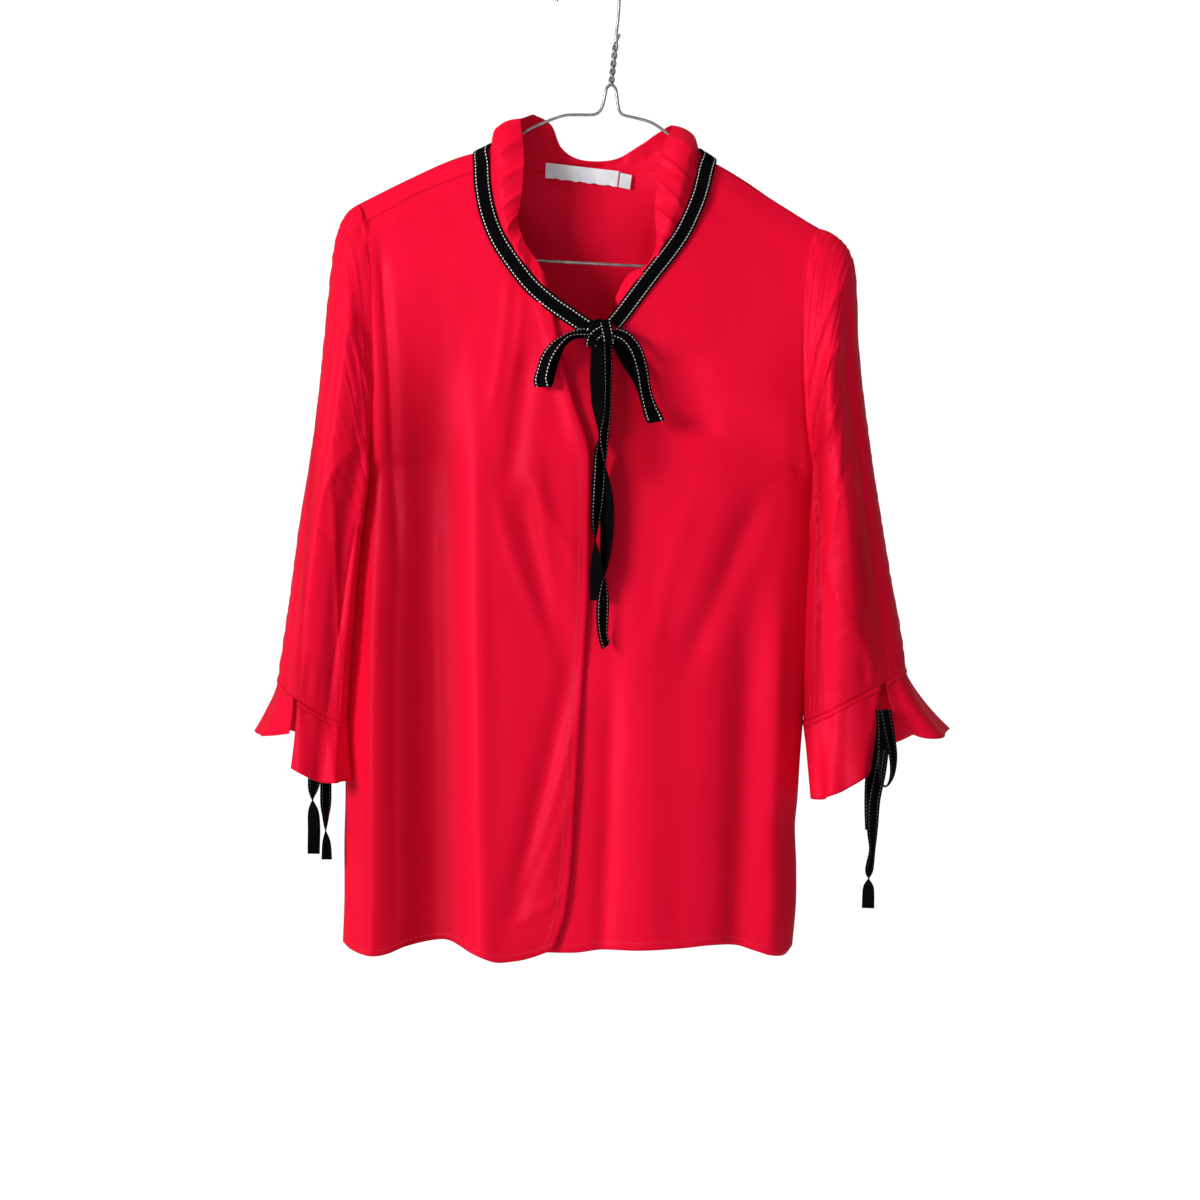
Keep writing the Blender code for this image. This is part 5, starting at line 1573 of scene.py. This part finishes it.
@dataclass
class Stitching:
    """Rows of stitches that follow lines on the cloth."""

    pitch: float = 2.6 * MM
    length: float = 1.9 * MM
    thick: float = 0.16 * MM
    bodice: Bodice = field(default_factory=Bodice)

    def tree(self) -> bpy.types.GeometryNodeTree:
        """Geometry Nodes tree that lays stitches along a line."""
        tree = bpy.data.node_groups.new("stitches", "GeometryNodeTree")
        face = tree.interface
        face.new_socket("Geometry", in_out="INPUT", socket_type="NodeSocketGeometry")
        for name in ("Pitch", "Length", "Thickness"):
            face.new_socket(name, in_out="INPUT", socket_type="NodeSocketFloat")
        face.new_socket("Material", in_out="INPUT", socket_type="NodeSocketMaterial")
        face.new_socket("Geometry", in_out="OUTPUT", socket_type="NodeSocketGeometry")
        add = tree.nodes.new
        link = tree.links.new
        start = add("NodeGroupInput")
        curve = add("GeometryNodeMeshToCurve")
        even = add("GeometryNodeResampleCurve")
        even.mode = "LENGTH"
        grains = add("GeometryNodeInstanceOnPoints")
        grain = add("GeometryNodeMeshUVSphere")
        grain.inputs["Segments"].default_value = 8
        grain.inputs["Rings"].default_value = 6
        grain.inputs["Radius"].default_value = 0.5
        size = add("ShaderNodeCombineXYZ")
        tangent = add("GeometryNodeInputTangent")
        align = add("FunctionNodeAlignRotationToVector")
        align.axis = "Z"
        real = add("GeometryNodeRealizeInstances")
        paint = add("GeometryNodeSetMaterial")
        end = add("NodeGroupOutput")
        link(start.outputs["Geometry"], curve.inputs["Mesh"])
        link(curve.outputs["Curve"], even.inputs["Curve"])
        link(start.outputs["Pitch"], even.inputs["Length"])
        link(even.outputs["Curve"], grains.inputs["Points"])
        link(grain.outputs["Mesh"], grains.inputs["Instance"])
        link(tangent.outputs[0], align.inputs["Vector"])
        link(align.outputs["Rotation"], grains.inputs["Rotation"])
        link(start.outputs["Thickness"], size.inputs[0])
        link(start.outputs["Thickness"], size.inputs[1])
        link(start.outputs["Length"], size.inputs[2])
        link(size.outputs[0], grains.inputs["Scale"])
        link(grains.outputs["Instances"], real.inputs["Geometry"])
        link(real.outputs["Geometry"], paint.inputs["Geometry"])
        link(start.outputs["Material"], paint.inputs["Material"])
        link(paint.outputs["Geometry"], end.inputs["Geometry"])
        return tree

    def lines(self) -> list[list[Vector]]:
        """Lines of the placket and the hems."""
        body = self.bodice
        lift = Vector((0, -0.45 * MM, 0))
        placket = []
        steps = 160
        for i in range(steps + 1):
            v = 0.43 + 0.56 * i / steps
            x_in, _, _, d_out = even_row(FRONT["right"], v)
            x_out = body.outer_edge(Side.RIGHT, d_out)[0]
            placket.append(body.front_point(Side.RIGHT, (body.placket - 1.5) / (x_in - x_out), v) + lift)
        lines = [placket]
        for side in Side:
            hem = []
            for i in range(steps + 1):
                hem.append(body.front_point(side, 0.02 + 0.95 * i / steps, 1 - body.hem / 790) + lift)
            lines.append(hem)
        return lines

    def dress(self) -> None:
        """Build and announce the stitches."""
        mesh = bpy.data.meshes.new("stitch_lines")
        points: list[Vector] = []
        edges: list[tuple[int, int]] = []
        for line in self.lines():
            first = len(points)
            points += line
            edges += [(first + i, first + i + 1) for i in range(len(line) - 1)]
        mesh.from_pydata([tuple(p) for p in points], edges, [])
        guide = bpy.data.objects.new("stitch_lines", mesh)
        bpy.context.scene.collection.objects.link(guide)
        modifier = guide.modifiers.new("Stitches", "NODES")
        modifier.node_group = self.tree()
        given = {"Pitch": self.pitch, "Length": self.length, "Thickness": self.thick * 2, "Material": THREAD.material()}
        for item in modifier.node_group.interface.items_tree:
            if item.in_out == "INPUT" and item.name in given:
                modifier[item.identifier] = given[item.name]
        graph = bpy.context.evaluated_depsgraph_get()
        baked = bpy.data.meshes.new_from_object(guide.evaluated_get(graph))
        piece = bpy.data.objects.new("stitches", baked)
        bpy.context.scene.collection.objects.link(piece)
        bpy.data.objects.remove(guide)
        announce(piece, THREAD)


@dataclass
class Studio:
    """Pale paper, soft lights and the camera."""

    distance: float = 8.0
    view_width: float = 0.96
    sensor: float = 36.0
    centre: tuple[float, float] = (600.0, 600.0)
    floor_z: float = -1.6
    floor_half: float = 6.0
    ambient: float = 0.16
    surround: float = 1.05

    def light(self, name: str, place: Row, aim: Row, size: float, power: float, lustre: bool = True) -> None:
        """Square soft light.

        Args:
            name: Name of the light.
            place: Where it stands.
            aim: Point that it faces.
            size: Its side.
            power: Its power in watts.
            lustre: Whether shiny cloth reflects it.
        """
        lamp = bpy.data.lights.new(name, "AREA")
        lamp.shape = "SQUARE"
        lamp.size = size
        lamp.energy = power
        holder = bpy.data.objects.new(name, lamp)
        holder.visible_glossy = lustre
        holder.location = place
        holder.rotation_euler = (Vector(aim) - Vector(place)).to_track_quat("-Z", "Y").to_euler()
        bpy.context.scene.collection.objects.link(holder)

    def paper(self) -> None:
        """Pale floor below the garment."""
        mesh = bpy.data.meshes.new("studio_floor")
        half, z = self.floor_half, self.floor_z
        points = [(-half, -half, z), (half, -half, z), (half, half, z), (-half, half, z)]
        mesh.from_pydata(points, [], [(0, 1, 2, 3)])
        mesh.materials.append(PAPER.material())
        floor = bpy.data.objects.new("studio_floor", mesh)
        bpy.context.scene.collection.objects.link(floor)

    def sky(self) -> None:
        """White surround that lights the garment only softly."""
        world = bpy.data.worlds.new("studio")
        world.use_nodes = True
        tree = world.node_tree
        seen = tree.nodes.new("ShaderNodeLightPath")
        strength = tree.nodes.new("ShaderNodeMapRange")
        strength.inputs["To Min"].default_value = self.ambient
        strength.inputs["To Max"].default_value = self.surround
        back = tree.nodes["Background"]
        back.inputs["Color"].default_value = (1, 1, 1, 1)
        tree.links.new(seen.outputs["Is Camera Ray"], strength.inputs["Value"])
        tree.links.new(strength.outputs[0], back.inputs["Strength"])
        bpy.context.scene.world = world

    def camera(self) -> None:
        """Camera straight in front, far off, as in the photograph."""
        x, d = self.centre
        middle = at(x, d, 0)
        lens = bpy.data.cameras.new("camera")
        lens.sensor_width = self.sensor
        lens.lens = self.sensor * self.distance / self.view_width
        lens.clip_end = 60.0
        holder = bpy.data.objects.new("camera", lens)
        holder.location = middle + Vector((0, -self.distance, 0))
        holder.rotation_euler = (math.pi / 2, 0, 0)
        bpy.context.scene.collection.objects.link(holder)
        bpy.context.scene.camera = holder

    def dress(self) -> None:
        """Set up camera, paper, lights and sky."""
        bpy.context.scene.view_settings.view_transform = "Standard"
        self.camera()
        self.paper()
        aim = (0.0, 0.0, -0.5)
        self.light("key", (-2.9, -2.7, 0.4), aim, 1.2, 130)
        self.light("fill", (0.6, -5.0, -0.2), aim, 2.4, 20)
        self.light("top", (-0.3, -0.6, 2.4), aim, 1.8, 34, False)
        self.light("back", (1.0, 4.2, 0.5), aim, 1.8, 70, False)
        self.sky()


def main() -> None:
    """Build the studio and every piece of the blouse."""
    logging.basicConfig(level=logging.INFO, format="%(name)s: %(message)s")
    Studio().dress()
    bodice = Bodice()
    for part in (Hanger(), bodice, Sleeves(), NeckFrill(), Ribbons(), Tags(), Stitching(bodice=bodice)):
        part.dress()
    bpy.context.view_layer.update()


if __name__ == "__main__":
    main()
